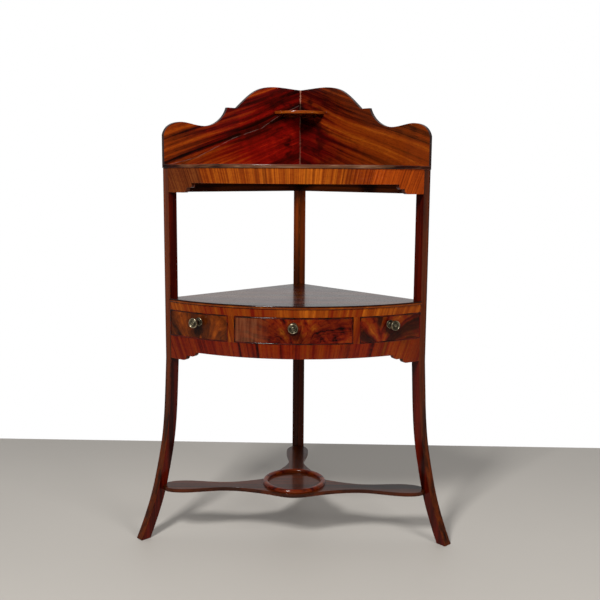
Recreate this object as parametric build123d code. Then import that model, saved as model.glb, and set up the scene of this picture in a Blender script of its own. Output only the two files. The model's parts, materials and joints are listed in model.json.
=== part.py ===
from build123d import *
import math
import os

# Bow-fronted corner washstand on three legs: a splashback and a pierced top,
# a shelf over one real drawer between two dummy fronts, and a low jug stand.
# Millimetres, +Z up. While the pieces are made, the origin is on the floor under the
# corner where the inside planes of the two walls meet, with the bow towards -Y.
# Wall directions: u runs along a wall from that corner to the front, v runs through
# the wall towards the room's own wall. The right wall is drawn and the left mirrors it.

os.makedirs("parts", exist_ok=True)

# Overall sizes
wall_angle = 45.0
post_side = 23.5
wall_run = 436.0
bow_swell = 106.7
post_height = 921.0
shelf_height = 602.5
splash_rise = 218.0

# Boards and rails
top_thickness = 9.0
shelf_thickness = 8.0
board_overhang = 3.0
edge_round = 2.4
edge_match = 0.2
rail_thickness = 19.0
veneer = 1.0
back_rail_thickness = 18.0
back_rail_depth = 58.0
side_thickness = 12.0
side_clear_of_frieze = 4.0
top_frieze_depth = 35.5
upper_rail_depth = 19.0
lower_rail_depth = 35.0
opening_height = 64.5

# Legs
splay_start = 450.0
foot_splay = 97.0
foot_width = 26.5
leg_curve_shares = [
    (1.0, 0.0), (0.75, 0.065), (0.53, 0.18), (0.40, 0.31),
    (0.23, 0.53), (0.10, 0.775), (0.0, 1.0),
]

# Joinery
tenon_inset = 5.0
rail_tenon_length = 10.0
rail_tenon_width = 8.0
corner_tenon_length = 5.5
corner_tenon_setback = 6.0
side_tenon_length = 3.5
side_tenon_setback = 4.0
side_tenon_width = 5.0
divider_tenon = 5.0
divider_tenon_width = 8.0

# Brackets under the friezes, measured round the bow from its middle
bracket_inner_arc = 251.0
bracket_step_arc = 279.5
top_bracket_inner_arc = 257.0
top_bracket_step_arc = 273.0
bracket_thickness = 13.0
bracket_drop = 23.0
bracket_step_drop = 11.0
bracket_round = 10.4
bracket_step_round = 10.4
top_bracket_step_round = 5.0

# Splashback
splash_thickness = 9.0
splash_end_overhang = 1.5
splash_peak_s = 75.0
splash_peak = 218.0
splash_apex = 216.0
splash_shoulder_s = 153.0
splash_shoulder = 206.5
splash_fall_s = 199.0
splash_fall = 177.0
notch_inner_s = 225.5
notch_outer_s = 256.0
splash_notch = 155.0
splash_hollow_s = 281.0
splash_hollow = 122.5
splash_valley_s = 321.0
splash_valley = 106.0
splash_rise_s = 365.0
splash_rise_level = 108.2
splash_end_top_s = 402.0
splash_end_top = 112.0
splash_end_round_s = 437.0
splash_end_round = 101.0
splash_end_shoulder = 79.0

# Corner shelf on the splashback
corner_shelf_radius = 95.0
corner_shelf_thickness = 8.5
corner_shelf_rise = 147.0
corner_shelf_round = 2.5
batten_length = 52.0
batten_side = 6.0
batten_start = 14.0

# Holes in the top
basin_radius = 130.0
basin_setback = 227.0
cup_radius = 41.0
cup_side = 192.0
cup_setback = 291.0
hole_round = 2.0

# Drawer opening and what guides the drawer
drawer_half_width = 141.5
divider_width = 15.5
divider_thickness = 19.0
bottom_thickness = 7.0
cleat_side = 12.0
guide_height = 15.0
kicker_width = 22.0
kicker_overlap = 12.0
drawer_side_gap = 0.6
drawer_top_gap = 1.0
drawer_floor_gap = 0.3
stop_gap = 0.3
stop_width = 24.0
stop_length = 10.0
stop_side = 70.0
stop_height = 4.0

# Drawer
drawer_depth = 236.0
drawer_side_thickness = 7.0
drawer_back_thickness = 7.0
drawer_bottom_thickness = 4.5
drawer_bottom_rise = 5.5
drawer_groove = 3.5
drawer_side_drop = 3.0
tail_length = 10.0
tail_root = 13.0
tail_tip = 18.0
tail_count = 3
back_drop = 8.0

# Cock beads
bead_width = 2.6
bead_depth = 9.0
bead_stand = 1.2

# Knobs
knob_rise = 42.5
knob_side_arc = 240.0
knob_head_radius = 12.3
knob_head_depth = 9.0
knob_back_round = 4.5
knob_face_round = 2.2
knob_stand = 26.0
knob_neck_radius = 4.2
knob_foot_radius = 6.5
knob_foot_depth = 4.0
knob_post_radius = 2.2
knob_plate_radius = 10.0
knob_plate_thickness = 1.2
knob_ring_radius = 9.0
knob_ring_groove = 0.9
knob_boss_radius = 4.0
nut_side = 9.0
nut_thickness = 3.0
nut_proud = 2.0
nut_seat_gap = 0.05

# Stretcher and jug stand
stretcher_top = 127.5
stretcher_thickness = 9.5
hub_setback = 291.5
hub_radius = 83.0
ring_setback = 288.5
ring_radius = 79.5
ring_width = 12.5
ring_height = 8.5
ring_round = 3.4
arm_hub_setback = 305.5
arm_tip_back = 4.0
arm_tip_half = 9.0
arm_shoulder = 14.0
arm_shoulder_half = 22.5
arm_shoulder_to_paddle = 28.0
arm_paddle_half = 30.0
arm_paddle_to_waist = 104.0
arm_waist_half = 18.5
arm_waist_to_flare = 98.0
arm_flare_half = 38.0
arm_flare_to_root = 42.0
arm_root_half = 57.0
back_paddle_to_waist = 110.0
back_waist_half = 21.5
back_waist_to_flare = 36.0
back_flare_half = 34.0
back_flare_to_root = 52.0
back_root_half = 60.0
arm_housing = 5.0
arm_tenon_length = 30.0
arm_tenon_half = 16.0
arm_tenon_thickness = 4.0

# Screws and glue blocks
screw_radius = 1.8
screw_head_radius = 3.6
screw_head_depth = 2.4
screw_length = 26.0
screw_margin = 55.0
screws_per_wall = 3
block_side = 12.0
block_arc = 36.0
block_arcs = [-205.0, -90.0, 90.0, 205.0]
top_block_arcs = [-215.0, -105.0, 0.0, 105.0, 215.0]

# Worked out from the sizes above
root2 = math.sqrt(2)
corner_reach = wall_run / root2
bow_reach = corner_reach + bow_swell
bow_radius = (corner_reach ** 2 + bow_swell ** 2) / (bow_swell * 2)
bow_middle = bow_radius - bow_reach
post_start = wall_run - post_side
far = wall_run * 2
splash_inner = post_side - splash_thickness
top_height = post_height + top_thickness
top_frieze_bottom = post_height - top_frieze_depth
shelf_under = shelf_height - shelf_thickness
opening_top = shelf_under - upper_rail_depth
opening_bottom = opening_top - opening_height
case_bottom = opening_bottom - lower_rail_depth
rail_outer = bow_radius - veneer
rail_inner = rail_outer - rail_thickness
stretcher_under = stretcher_top - stretcher_thickness
centre_shift = (bow_reach + knob_stand - post_side * root2) / 2

pieces = {}
low_align = (Align.CENTER, Align.CENTER, Align.MIN)
high_align = (Align.CENTER, Align.CENTER, Align.MAX)


def right_wall(piece):
    """Turn a piece from wall directions u, v, z to its place on the right wall."""
    return Rot(0, 0, -wall_angle) * piece


def mirrored(piece):
    """The left-hand twin of a right-hand piece."""
    return mirror(piece, about=Plane.YZ)


def add_pair(left_name, right_name, piece):
    """Keep a right-hand piece and its left-hand twin."""
    pieces[right_name] = piece
    pieces[left_name] = mirrored(piece)


def block(x0, x1, y0, y1, z0, z1):
    """A box between two corners."""
    box = Box(x1 - x0, y1 - y0, z1 - z0, align=(Align.MIN, Align.MIN, Align.MIN))
    return Pos(x0, y0, z0) * box


def wall_block(u0, u1, v0, v1, z0, z1):
    """A box on the right wall, in wall directions."""
    return right_wall(block(u0, u1, v0, v1, z0, z1))


def upright(points, z0, z1):
    """A prism with the given plan outline."""
    face = make_face(Polyline(*points, close=True))
    return Pos(0, 0, z0) * extrude(face, z1 - z0)


def between_walls(v, z0, z1):
    """The space in front of both walls, up to v through them."""
    tip = v * root2
    return upright([(0, tip), (far, tip - far), (-far, tip - far)], z0, z1)


def bow_band(inner, outer, z0, z1):
    """A full ring about the bow's centre."""
    ring = Cylinder(outer, z1 - z0, align=low_align) - Cylinder(inner, z1 - z0, align=low_align)
    return Pos(0, bow_middle, z0) * ring


def bow_sector(inner, outer, arc0, arc1, z0, z1):
    """Part of the bow between two distances round its face from the middle."""
    ends = [arc0 / bow_radius, arc1 / bow_radius]
    rim = [(far * math.sin(a), bow_middle - far * math.cos(a)) for a in ends]
    return bow_band(inner, outer, z0, z1) & upright([(0, bow_middle)] + rim, z0, z1)


def radial(arc, z, piece):
    """Place a piece that points along +Z out of the bow's face at arc and height z."""
    angle = arc / bow_radius
    foot = (bow_radius * math.sin(angle), bow_middle - bow_radius * math.cos(angle), z)
    outward = (math.sin(angle), -math.cos(angle), 0)
    return Plane(origin=foot, x_dir=(math.cos(angle), math.sin(angle), 0), z_dir=outward) * piece


def one(piece):
    """The single solid of a boolean's result."""
    solids = piece.solids()
    assert len(solids) == 1, len(solids)
    return solids[0]


def cut_tenons(posts, tenons):
    """Cut mortises for the tenons in the posts."""
    for post in posts:
        for tenon in tenons:
            pieces[post] = pieces[post] - tenon


# Legs

def front_leg():
    """A square post that sweeps outwards along its wall towards the floor."""
    inner_splay = foot_splay - (foot_width - post_side)
    outer = [(wall_run + foot_splay * share, splay_start * rise) for rise, share in leg_curve_shares]
    inner = [(post_start + inner_splay * share, splay_start * rise) for rise, share in leg_curve_shares]
    top_out = (wall_run, post_height)
    top_in = (post_start, post_height)
    with BuildSketch(Plane.XZ) as profile:
        with BuildLine():
            Polyline(inner[0], top_in, top_out, outer[0])
            Spline(*outer)
            Line(outer[-1], inner[-1])
            Spline(*inner[::-1])
        make_face()
    leg = Pos(0, post_side, 0) * extrude(profile.sketch, post_side)
    return right_wall(leg)


add_pair("front_left_leg", "front_right_leg", front_leg())
pieces["back_leg"] = wall_block(-post_side, 0, 0, post_side, 0, post_height)


# Rails round the bow

def bow_rail(z0, z1):
    """A curved rail between the front posts, and the tenon at its right end."""
    rail = bow_band(rail_inner, rail_outer, z0, z1) & between_walls(0, z0, z1)
    middle = wall_run - (rail_thickness + veneer) / 2
    half = rail_tenon_width / 2
    tenon = wall_block(middle - half, middle + half, 0, rail_tenon_length, z0 + tenon_inset, z1 - tenon_inset)
    return rail + tenon + mirrored(tenon), tenon


def bow_veneer(z0, z1):
    """The cross-banded veneer on a curved rail."""
    return bow_band(rail_outer, bow_radius, z0, z1) & between_walls(0, z0, z1)


def bracket(inner, outer, z_top, arc0, arc1, step_round):
    """A stepped and rounded bracket under the right end of a frieze."""
    low = z_top - bracket_drop
    step = z_top - bracket_step_drop
    walls = between_walls(0, low, z_top)
    wide = bow_sector(inner, outer, arc1, wall_run, low, z_top) & walls
    narrow = bow_sector(inner, outer, arc0, arc1, step, z_top)
    wide_edge = wide.edges().filter_by(GeomType.LINE).group_by(Axis.Z)[0].sort_by(Axis.X)[0]
    narrow_edge = narrow.edges().filter_by(GeomType.LINE).group_by(Axis.Z)[0].sort_by(Axis.X)[0]
    return fillet(wide_edge, bracket_round) + fillet(narrow_edge, step_round)


bracket_inner = rail_outer - bracket_thickness
rails = {
    "top": (top_frieze_bottom, post_height),
    "upper": (opening_top, shelf_under),
    "lower": (case_bottom, opening_bottom),
}
rail_names = {"top": "top_frieze_rail", "upper": "upper_front_rail", "lower": "lower_front_rail"}
veneer_names = {"top": "top_frieze_veneer", "upper": "upper_rail_veneer", "lower": "lower_frieze_veneer"}
for key, (z0, z1) in rails.items():
    rail, tenon = bow_rail(z0, z1)
    pieces[rail_names[key]] = rail
    pieces[veneer_names[key]] = bow_veneer(z0, z1)
    cut_tenons(["front_right_leg"], [tenon])
    cut_tenons(["front_left_leg"], [mirrored(tenon)])

bracket_rows = [
    ("top", top_frieze_bottom, top_bracket_inner_arc, top_bracket_step_arc, top_bracket_step_round),
    ("lower", case_bottom, bracket_inner_arc, bracket_step_arc, bracket_step_round),
]
for key, z_top, arc0, arc1, step_round in bracket_rows:
    core = bracket(bracket_inner, rail_outer, z_top, arc0, arc1, step_round)
    skin = bracket(rail_outer, bow_radius, z_top, arc0, arc1, step_round)
    add_pair(key + "_bracket_left", key + "_bracket_right", core)
    pieces[veneer_names[key]] = one(pieces[veneer_names[key]] + skin + mirrored(skin))


# Rails and boards along the walls

def wall_board(thickness, z0, z1, tenon_length, setback, width):
    """A board between a front post and the back post, and its two tenons."""
    board = wall_block(0, post_start, 0, thickness, z0, z1)
    low = z0 + tenon_inset
    high = z1 - tenon_inset
    back = wall_block(-tenon_length, 0, setback, setback + width, low, high)
    front = wall_block(post_start, post_start + tenon_length, setback, setback + width, low, high)
    return board + back + front, back, front


wall_rows = [
    ("top_back_rail", back_rail_thickness, post_height - back_rail_depth, post_height,
     corner_tenon_length, corner_tenon_setback, rail_tenon_width),
    ("case_side", side_thickness, case_bottom + side_clear_of_frieze, shelf_under,
     side_tenon_length, side_tenon_setback, side_tenon_width),
]
for name, thickness, z0, z1, length, setback, width in wall_rows:
    board, back, front = wall_board(thickness, z0, z1, length, setback, width)
    add_pair(name + "_left", name + "_right", board)
    cut_tenons(["back_leg"], [back, mirrored(back)])
    cut_tenons(["front_right_leg"], [front])
    cut_tenons(["front_left_leg"], [mirrored(front)])


# Top and shelf boards

def round_bow_edges(board, radius):
    """Round the curved front edge of a board, above and below."""
    front = board.edges().filter_by(GeomType.CIRCLE).filter_by(
        lambda edge: abs(edge.radius - bow_radius - board_overhang) < edge_match
    )
    return fillet(front, radius)


def top_board():
    """The quadrant top, with holes for a basin and two cups."""
    outer = bow_radius + board_overhang
    disc = Pos(0, bow_middle, post_height) * Cylinder(outer, top_thickness, align=low_align)
    board = round_bow_edges(disc & between_walls(splash_inner, post_height, top_height), edge_round)
    holes = [(basin_radius, 0, basin_setback)]
    holes += [(cup_radius, side, cup_setback) for side in (-cup_side, cup_side)]
    for radius, x, setback in holes:
        board -= Pos(x, -setback, post_height) * Cylinder(radius, top_thickness, align=low_align)
    rims = board.edges().filter_by(GeomType.CIRCLE).filter_by(lambda edge: edge.radius < bow_reach)
    return fillet(rims.group_by(Axis.Z)[-1], hole_round)


def shelf_board():
    """The middle shelf, let in between the posts and lapped over the case sides."""
    outer = bow_radius + board_overhang
    disc = Pos(0, bow_middle, shelf_under) * Cylinder(outer, shelf_thickness, align=low_align)
    board = round_bow_edges(disc & between_walls(0, shelf_under, shelf_height), edge_round)
    lap = wall_block(0, post_start, 0, side_thickness, shelf_under, shelf_height)
    return one(board + lap + mirrored(lap))


pieces["top_board"] = top_board()
pieces["shelf_board"] = shelf_board()


# Splashback

def splashback():
    """The right splashback board, mitred at the corner, with its shaped top edge."""
    base = post_height
    start = -splash_inner
    end_s = wall_run + splash_end_overhang - start

    def at(s, rise):
        return (start + s, base + rise)

    with BuildSketch(Plane.XZ) as profile:
        with BuildLine():
            Polyline(at(0, splash_apex), (-post_side, base + splash_apex), (-post_side, base), at(end_s, 0),
                     at(end_s, splash_end_shoulder))
            Spline(at(end_s, splash_end_shoulder), at(splash_end_round_s, splash_end_round),
                   at(splash_end_top_s, splash_end_top), at(splash_rise_s, splash_rise_level),
                   at(splash_valley_s, splash_valley), at(splash_hollow_s, splash_hollow),
                   at(notch_outer_s, splash_notch))
            Line(at(notch_outer_s, splash_notch), at(notch_inner_s, splash_notch))
            Spline(at(notch_inner_s, splash_notch), at(splash_fall_s, splash_fall),
                   at(splash_shoulder_s, splash_shoulder), at(splash_peak_s, splash_peak),
                   at(0, splash_apex))
        make_face()
    board = Pos(0, post_side, 0) * extrude(profile.sketch, splash_thickness)
    room = block(0, far, -far, far, base, base + splash_rise)
    return one(right_wall(board) & room)


def screws_through(along, z):
    """Screws from the back of the splashback towards the room, on the right wall."""
    group = []
    for u in along:
        head = Cone(screw_radius, screw_head_radius, screw_head_depth, align=high_align)
        shank = Cylinder(screw_radius, screw_length - screw_head_depth, align=high_align)
        screw = head + Pos(0, 0, -screw_head_depth) * shank
        group.append(right_wall(Plane(origin=(u, post_side, z), x_dir=(1, 0, 0), z_dir=(0, 1, 0)) * screw))
    return group


add_pair("splashback_left", "splashback_right", splashback())
screw_gap = (post_start - screw_margin * 2) / (screws_per_wall - 1)
screw_places = [screw_margin + screw_gap * number for number in range(screws_per_wall)]
right_screws = screws_through(screw_places, post_height + top_thickness / 2)
screws = right_screws + [mirrored(screw) for screw in right_screws]
for screw in right_screws:
    pieces["splashback_right"] -= screw
    pieces["splashback_left"] -= mirrored(screw)
for screw in screws:
    pieces["top_board"] -= screw
pieces["splashback_screws"] = Compound(screws)


def corner_shelf():
    """A quadrant shelf in the splashback's corner."""
    base = post_height + corner_shelf_rise
    corner = splash_inner * root2
    disc = Pos(0, corner, base) * Cylinder(corner_shelf_radius, corner_shelf_thickness, align=low_align)
    shelf = disc & between_walls(splash_inner, base, base + corner_shelf_thickness)
    return fillet(shelf.edges().filter_by(GeomType.CIRCLE), corner_shelf_round)


pieces["corner_shelf"] = corner_shelf()
batten_base = post_height + corner_shelf_rise - batten_side
batten = wall_block(
    batten_start - splash_inner, batten_start - splash_inner + batten_length,
    splash_inner - batten_side, splash_inner, batten_base, batten_base + batten_side,
)
pieces["corner_shelf_battens"] = Compound([batten, mirrored(batten)])


# Case: dividers, bottom, cleats, guides, kickers, stops

def within(x0, x1, z0, z1):
    """A slab of space between two planes across the front."""
    return block(x0, x1, -far, far, z0, z1)


def divider():
    """The right upright between the drawer and the dummy front, tenoned to both rails."""
    low = opening_bottom
    outside = drawer_half_width + divider_width
    post = bow_band(bow_radius - divider_thickness, bow_radius, low, opening_top)
    post &= within(drawer_half_width, outside, low, opening_top)
    post = one(post & between_walls(0, low, opening_top))
    middle = bow_radius - (divider_thickness + veneer) / 2
    half = divider_tenon_width / 2
    tenon = bow_band(middle - half, middle + half, low - divider_tenon, opening_top + divider_tenon)
    tenon &= within(drawer_half_width + half / 2, outside - half / 2,
                    low - divider_tenon, opening_top + divider_tenon)
    tenon = one(tenon & between_walls(0, low - divider_tenon, opening_top + divider_tenon))
    return one(post + tenon)


add_pair("divider_left", "divider_right", divider())
for side in ("divider_left", "divider_right"):
    pieces["upper_front_rail"] -= pieces[side]
    pieces["lower_front_rail"] -= pieces[side]

bottom_base = opening_bottom - bottom_thickness
floor_disc = Pos(0, bow_middle, bottom_base) * Cylinder(rail_inner, bottom_thickness, align=low_align)
pieces["case_bottom"] = one(floor_disc & between_walls(0, bottom_base, opening_bottom))

cleat_end = post_start - rail_thickness - block_side
cleat = wall_block(cleat_side, cleat_end, -cleat_side, 0, bottom_base - cleat_side, bottom_base)
pieces["bottom_cleats"] = Compound([cleat, mirrored(cleat)])


def runner(x0, x1, z0, z1):
    """A strip from the front rail back to the case side, on the right."""
    inside = Pos(0, bow_middle, z0) * Cylinder(rail_inner, z1 - z0, align=low_align)
    return one(inside & within(x0, x1, z0, z1) & between_walls(0, z0, z1) & block(-far, far, -far, 0, z0, z1))


guide = runner(drawer_half_width, drawer_half_width + divider_width,
               opening_bottom, opening_bottom + guide_height)
add_pair("drawer_guide_left", "drawer_guide_right", guide)
kicker_start = drawer_half_width - kicker_overlap
kicker = runner(kicker_start, kicker_start + kicker_width, opening_top, shelf_under)
add_pair("drawer_kicker_left", "drawer_kicker_right", kicker)

stop_front = bow_radius - rail_thickness - veneer - stop_gap
stop = bow_band(stop_front - stop_length, stop_front, opening_bottom, opening_bottom + stop_height)
stop &= within(stop_side, stop_side + stop_width, opening_bottom, opening_bottom + stop_height)
stop = one(stop & between_walls(0, opening_bottom, opening_bottom + stop_height))
pieces["drawer_stops"] = Compound([stop, mirrored(stop)])


def glue_blocks(arcs, z0, z1):
    """Short blocks rubbed into the angle behind a curved rail."""
    half = block_arc / 2
    return [
        one(bow_sector(rail_inner - block_side, rail_inner, arc - half, arc + half, z0, z1))
        for arc in arcs
    ]


pieces["top_glue_blocks"] = Compound(glue_blocks(top_block_arcs, post_height - block_side, post_height))
pieces["case_glue_blocks"] = Compound(
    glue_blocks(block_arcs, shelf_under - block_side, shelf_under)
    + glue_blocks(block_arcs, bottom_base - block_side, bottom_base)
)


# Fronts with their veneer and cock beads

def front_region(inset, x0, x1, z0, z1, to_wall):
    """The space of a front, drawn in by inset on its four sides."""
    if not to_wall:
        return within(x0 + inset, x1 - inset, z0 + inset, z1 - inset)
    region = within(x0 + inset, x1, z0 + inset, z1 - inset)
    return region & between_walls(-inset, z0 + inset, z1 - inset)


def bow_front(x0, x1, z0, z1, to_wall):
    """The core, veneer and cock bead of one front."""
    whole = front_region(0, x0, x1, z0, z1, to_wall)
    field = front_region(bead_width, x0, x1, z0, z1, to_wall)
    front_side = block(-far, far, -far, 0, z0, z1)
    bead = bow_band(bow_radius - bead_depth, bow_radius + bead_stand, z0, z1) & whole & front_side
    bead = one(bead - field)
    core = bow_band(rail_inner, rail_outer, z0, z1) & whole & front_side
    core = one(core - bead)
    skin = one(bow_band(rail_outer, bow_radius, z0, z1) & field & front_side)
    return core, skin, bead


dummy_start = drawer_half_width + divider_width
core, skin, bead = bow_front(dummy_start, wall_run, opening_bottom, opening_top, True)
add_pair("dummy_front_left", "dummy_front_right", core)
add_pair("dummy_veneer_left", "dummy_veneer_right", skin)
add_pair("dummy_bead_left", "dummy_bead_right", bead)

front_half = drawer_half_width - drawer_side_gap
drawer_low = opening_bottom + drawer_floor_gap
drawer_high = opening_top - drawer_top_gap
core, skin, bead = bow_front(-front_half, front_half, drawer_low, drawer_high, False)
pieces["drawer_front_veneer"] = skin
pieces["drawer_bead"] = bead


# Drawer box

side_top = drawer_high - drawer_side_drop
side_in = front_half - drawer_side_thickness
drawer_back_y = drawer_depth - bow_reach
bottom_z = drawer_low + drawer_bottom_rise
bottom_top = bottom_z + drawer_bottom_thickness


def dovetails(y_root, y_tip, z0, z1):
    """A row of tails on the right drawer side, widening from root to tip."""
    pitch = (z1 - z0) / tail_count
    tails = []
    for number in range(tail_count):
        middle = z0 + pitch * (number + 0.5)
        root = tail_root / 2
        tip = tail_tip / 2
        outline = [(y_root, middle - root), (y_tip, middle - tip), (y_tip, middle + tip), (y_root, middle + root)]
        face = make_face(Plane.YZ * Polyline(*outline, close=True))
        tails.append(Pos(side_in, 0, 0) * extrude(face, drawer_side_thickness, dir=(1, 0, 0)))
    return tails


front_face_y = bow_middle - math.sqrt(rail_inner ** 2 - front_half ** 2)
front_band = bow_band(rail_inner, bow_radius, drawer_low, drawer_high)
board = block(side_in, front_half, front_face_y - tail_length, drawer_back_y, drawer_low, side_top)
body = one((board - front_band) & block(0, far, front_face_y - rail_thickness, far, drawer_low, side_top))
back_front_y = drawer_back_y - drawer_back_thickness
body = one(body & block(0, far, -far, back_front_y, drawer_low, side_top))
front_tails = dovetails(front_face_y + tail_root, front_face_y - tail_length, drawer_low, side_top)
back_tails = dovetails(back_front_y, drawer_back_y, bottom_top, side_top - back_drop)
side = body
for tail in front_tails + back_tails:
    side = side + (tail - body)
side = one(side)
panel = Pos(0, bow_middle, bottom_z) * Cylinder(rail_inner + drawer_groove, drawer_bottom_thickness,
                                                align=low_align)
panel_half = side_in + drawer_groove
panel = one(panel & block(-panel_half, panel_half, -far, drawer_back_y, bottom_z, bottom_top))
side = one(side - panel)
drawer_back = block(-front_half, front_half, back_front_y, drawer_back_y, bottom_top, side_top - back_drop)
drawer_back = one(drawer_back - side - mirrored(side))
core = one(core - side - mirrored(side) - panel)
add_pair("drawer_side_left", "drawer_side_right", side)
pieces["drawer_front"] = core
pieces["drawer_back"] = drawer_back
pieces["drawer_bottom"] = panel


# Knobs

def knob():
    """A turned knob with concentric rings, on a post that goes through the front."""
    head_base = knob_stand - knob_head_depth
    head = Pos(0, 0, head_base) * Cylinder(knob_head_radius, knob_head_depth, align=low_align)
    head = fillet(head.edges().filter_by(GeomType.CIRCLE).group_by(Axis.Z)[0], knob_back_round)
    head = fillet(head.edges().filter_by(GeomType.CIRCLE).group_by(Axis.Z)[-1], knob_face_round)
    ring = Cylinder(knob_ring_radius, knob_ring_groove, align=low_align)
    ring -= Cylinder(knob_ring_radius - knob_ring_groove, knob_ring_groove, align=low_align)
    boss = Cylinder(knob_boss_radius, knob_ring_groove, align=low_align)
    boss -= Cylinder(knob_boss_radius - knob_ring_groove, knob_ring_groove, align=low_align)
    head -= Pos(0, 0, knob_stand - knob_ring_groove) * (ring + boss)
    neck = Pos(0, 0, knob_plate_thickness) * Cylinder(knob_neck_radius, head_base, align=low_align)
    foot = Cone(knob_foot_radius, knob_neck_radius, knob_foot_depth, align=low_align)
    foot = Pos(0, 0, knob_plate_thickness) * foot
    depth = rail_thickness + veneer + nut_thickness + nut_proud
    post = Pos(0, 0, -depth) * Cylinder(knob_post_radius, depth + head_base, align=low_align)
    return one(head + neck + foot + post)


def knob_plate():
    """The round plate between a knob and its front."""
    plate = Cylinder(knob_plate_radius, knob_plate_thickness, align=low_align)
    plate = fillet(plate.edges().group_by(Axis.Z)[-1], knob_plate_thickness / 2)
    return one(plate - Cylinder(knob_post_radius, knob_plate_thickness, align=low_align))


def knob_nut():
    """The square nut behind the front."""
    face = -(rail_thickness + veneer + nut_seat_gap)
    nut = Pos(0, 0, face) * Box(nut_side, nut_side, nut_thickness, align=high_align)
    return one(nut - Pos(0, 0, face) * Cylinder(knob_post_radius, nut_thickness, align=high_align))


knob_z = opening_bottom + knob_rise
knob_rows = [
    ("drawer_knob", 0, ["drawer_front", "drawer_front_veneer"]),
    ("left_knob", -knob_side_arc, ["dummy_front_left", "dummy_veneer_left"]),
    ("right_knob", knob_side_arc, ["dummy_front_right", "dummy_veneer_right"]),
]
for name, arc, fronts in knob_rows:
    pieces[name] = radial(arc, knob_z, knob())
    pieces[name + "_plate"] = radial(arc, knob_z, knob_plate())
    pieces[name + "_nut"] = radial(arc, knob_z, knob_nut())
    for front in fronts:
        pieces[front] = one(pieces[front] - pieces[name])


# Stretcher with its jug stand

def arm_outline(to_waist, waist_half, to_flare, flare_half, to_root, root_half):
    """Half-round tip, paddle, waist and flared root of an arm, from its tip along -X."""
    paddle = arm_shoulder + arm_shoulder_to_paddle
    waist = paddle + to_waist
    flare = waist + to_flare
    upper = [
        (0, arm_tip_half), (-arm_shoulder, arm_shoulder_half), (-paddle, arm_paddle_half),
        (-waist, waist_half), (-flare, flare_half), (-flare - to_root, root_half),
    ]
    lower = [(x, -y) for x, y in upper]
    with BuildSketch() as outline:
        with BuildLine():
            Spline(*upper)
            Line(upper[-1], lower[-1])
            Spline(*lower[::-1])
            Line(lower[0], upper[0])
        make_face()
    return outline.sketch


leg_rise = stretcher_under / splay_start
shares = sorted(leg_curve_shares)
below = max(row for row in shares if row[0] <= leg_rise)
above = min(row for row in shares if row[0] > leg_rise)
blend = (leg_rise - below[0]) / (above[0] - below[0])
leg_share = below[1] + (above[1] - below[1]) * blend
tip_reach = (post_start + (foot_splay - foot_width + post_side) * leg_share) / root2 + arm_housing
tip_y = arm_tip_back - tip_reach
arm_angle = math.degrees(math.atan2(tip_y + arm_hub_setback, tip_reach))
hub = Pos(0, -hub_setback, 0) * Circle(hub_radius)
right_arm = Pos(tip_reach, tip_y) * Rot(0, 0, arm_angle) * arm_outline(
    arm_paddle_to_waist, arm_waist_half, arm_waist_to_flare, arm_flare_half, arm_flare_to_root, arm_root_half
)
board_face = hub + right_arm + mirrored(right_arm)
board = Pos(0, 0, stretcher_under) * extrude(board_face, stretcher_thickness)
back_face = Pos(0, arm_housing) * Rot(0, 0, 90) * arm_outline(
    back_paddle_to_waist, back_waist_half, back_waist_to_flare, back_flare_half, back_flare_to_root, back_root_half
)
back_arm = Pos(0, 0, stretcher_under) * extrude(back_face, stretcher_thickness)
back_arm = one(back_arm - board)
tenon_low = stretcher_under + (stretcher_thickness - arm_tenon_thickness) / 2
tenon_y = hub_radius - hub_setback
tenon = block(-arm_tenon_half, arm_tenon_half, tenon_y - arm_tenon_length, tenon_y,
              tenon_low, tenon_low + arm_tenon_thickness)
back_arm = one(back_arm + (tenon & board))
pieces["stretcher_board"] = one(board - back_arm)
pieces["stretcher_back_arm"] = back_arm
for leg in ("front_left_leg", "front_right_leg"):
    pieces[leg] -= pieces["stretcher_board"]
pieces["back_leg"] -= back_arm

ring = Cylinder(ring_radius, ring_height, align=low_align)
ring -= Cylinder(ring_radius - ring_width, ring_height, align=low_align)
ring = fillet(ring.edges().group_by(Axis.Z)[-1], ring_round)
pieces["jug_ring"] = Pos(0, -ring_setback, stretcher_top) * ring

for name, piece in pieces.items():
    solids = piece.solids()
    result = solids[0] if len(solids) == 1 else Compound(solids)
    export_step(Pos(0, centre_shift, 0) * result, os.path.join("parts", name + ".step"))
print(len(pieces), "nodes, origin moved by", round(centre_shift, 3))
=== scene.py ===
"""Dresses a bow-fronted corner washstand: eased boards, figured veneers, turned brass and a pale studio."""

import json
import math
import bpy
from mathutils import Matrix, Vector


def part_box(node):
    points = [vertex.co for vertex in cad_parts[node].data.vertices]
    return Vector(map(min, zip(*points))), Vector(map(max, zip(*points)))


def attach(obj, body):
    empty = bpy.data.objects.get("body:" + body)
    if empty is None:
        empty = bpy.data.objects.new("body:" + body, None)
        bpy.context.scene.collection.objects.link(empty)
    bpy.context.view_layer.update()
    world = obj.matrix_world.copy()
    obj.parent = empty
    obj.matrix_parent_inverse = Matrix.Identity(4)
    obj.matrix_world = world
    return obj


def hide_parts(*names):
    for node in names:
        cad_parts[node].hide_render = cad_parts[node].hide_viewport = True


bl_info = {
    "name": "Corner Washstand",
    "version": (1, 0, 0),
    "blender": (4, 5, 0),
    "location": "View3D > Sidebar > Washstand",
    "description": "Shapes and finishes for a bow-fronted corner washstand",
    "category": "Add Mesh",
}

import bmesh
import bpy
import numpy as np
from bpy.props import FloatProperty, FloatVectorProperty, IntProperty, PointerProperty
from mathutils import Matrix, Vector

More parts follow.
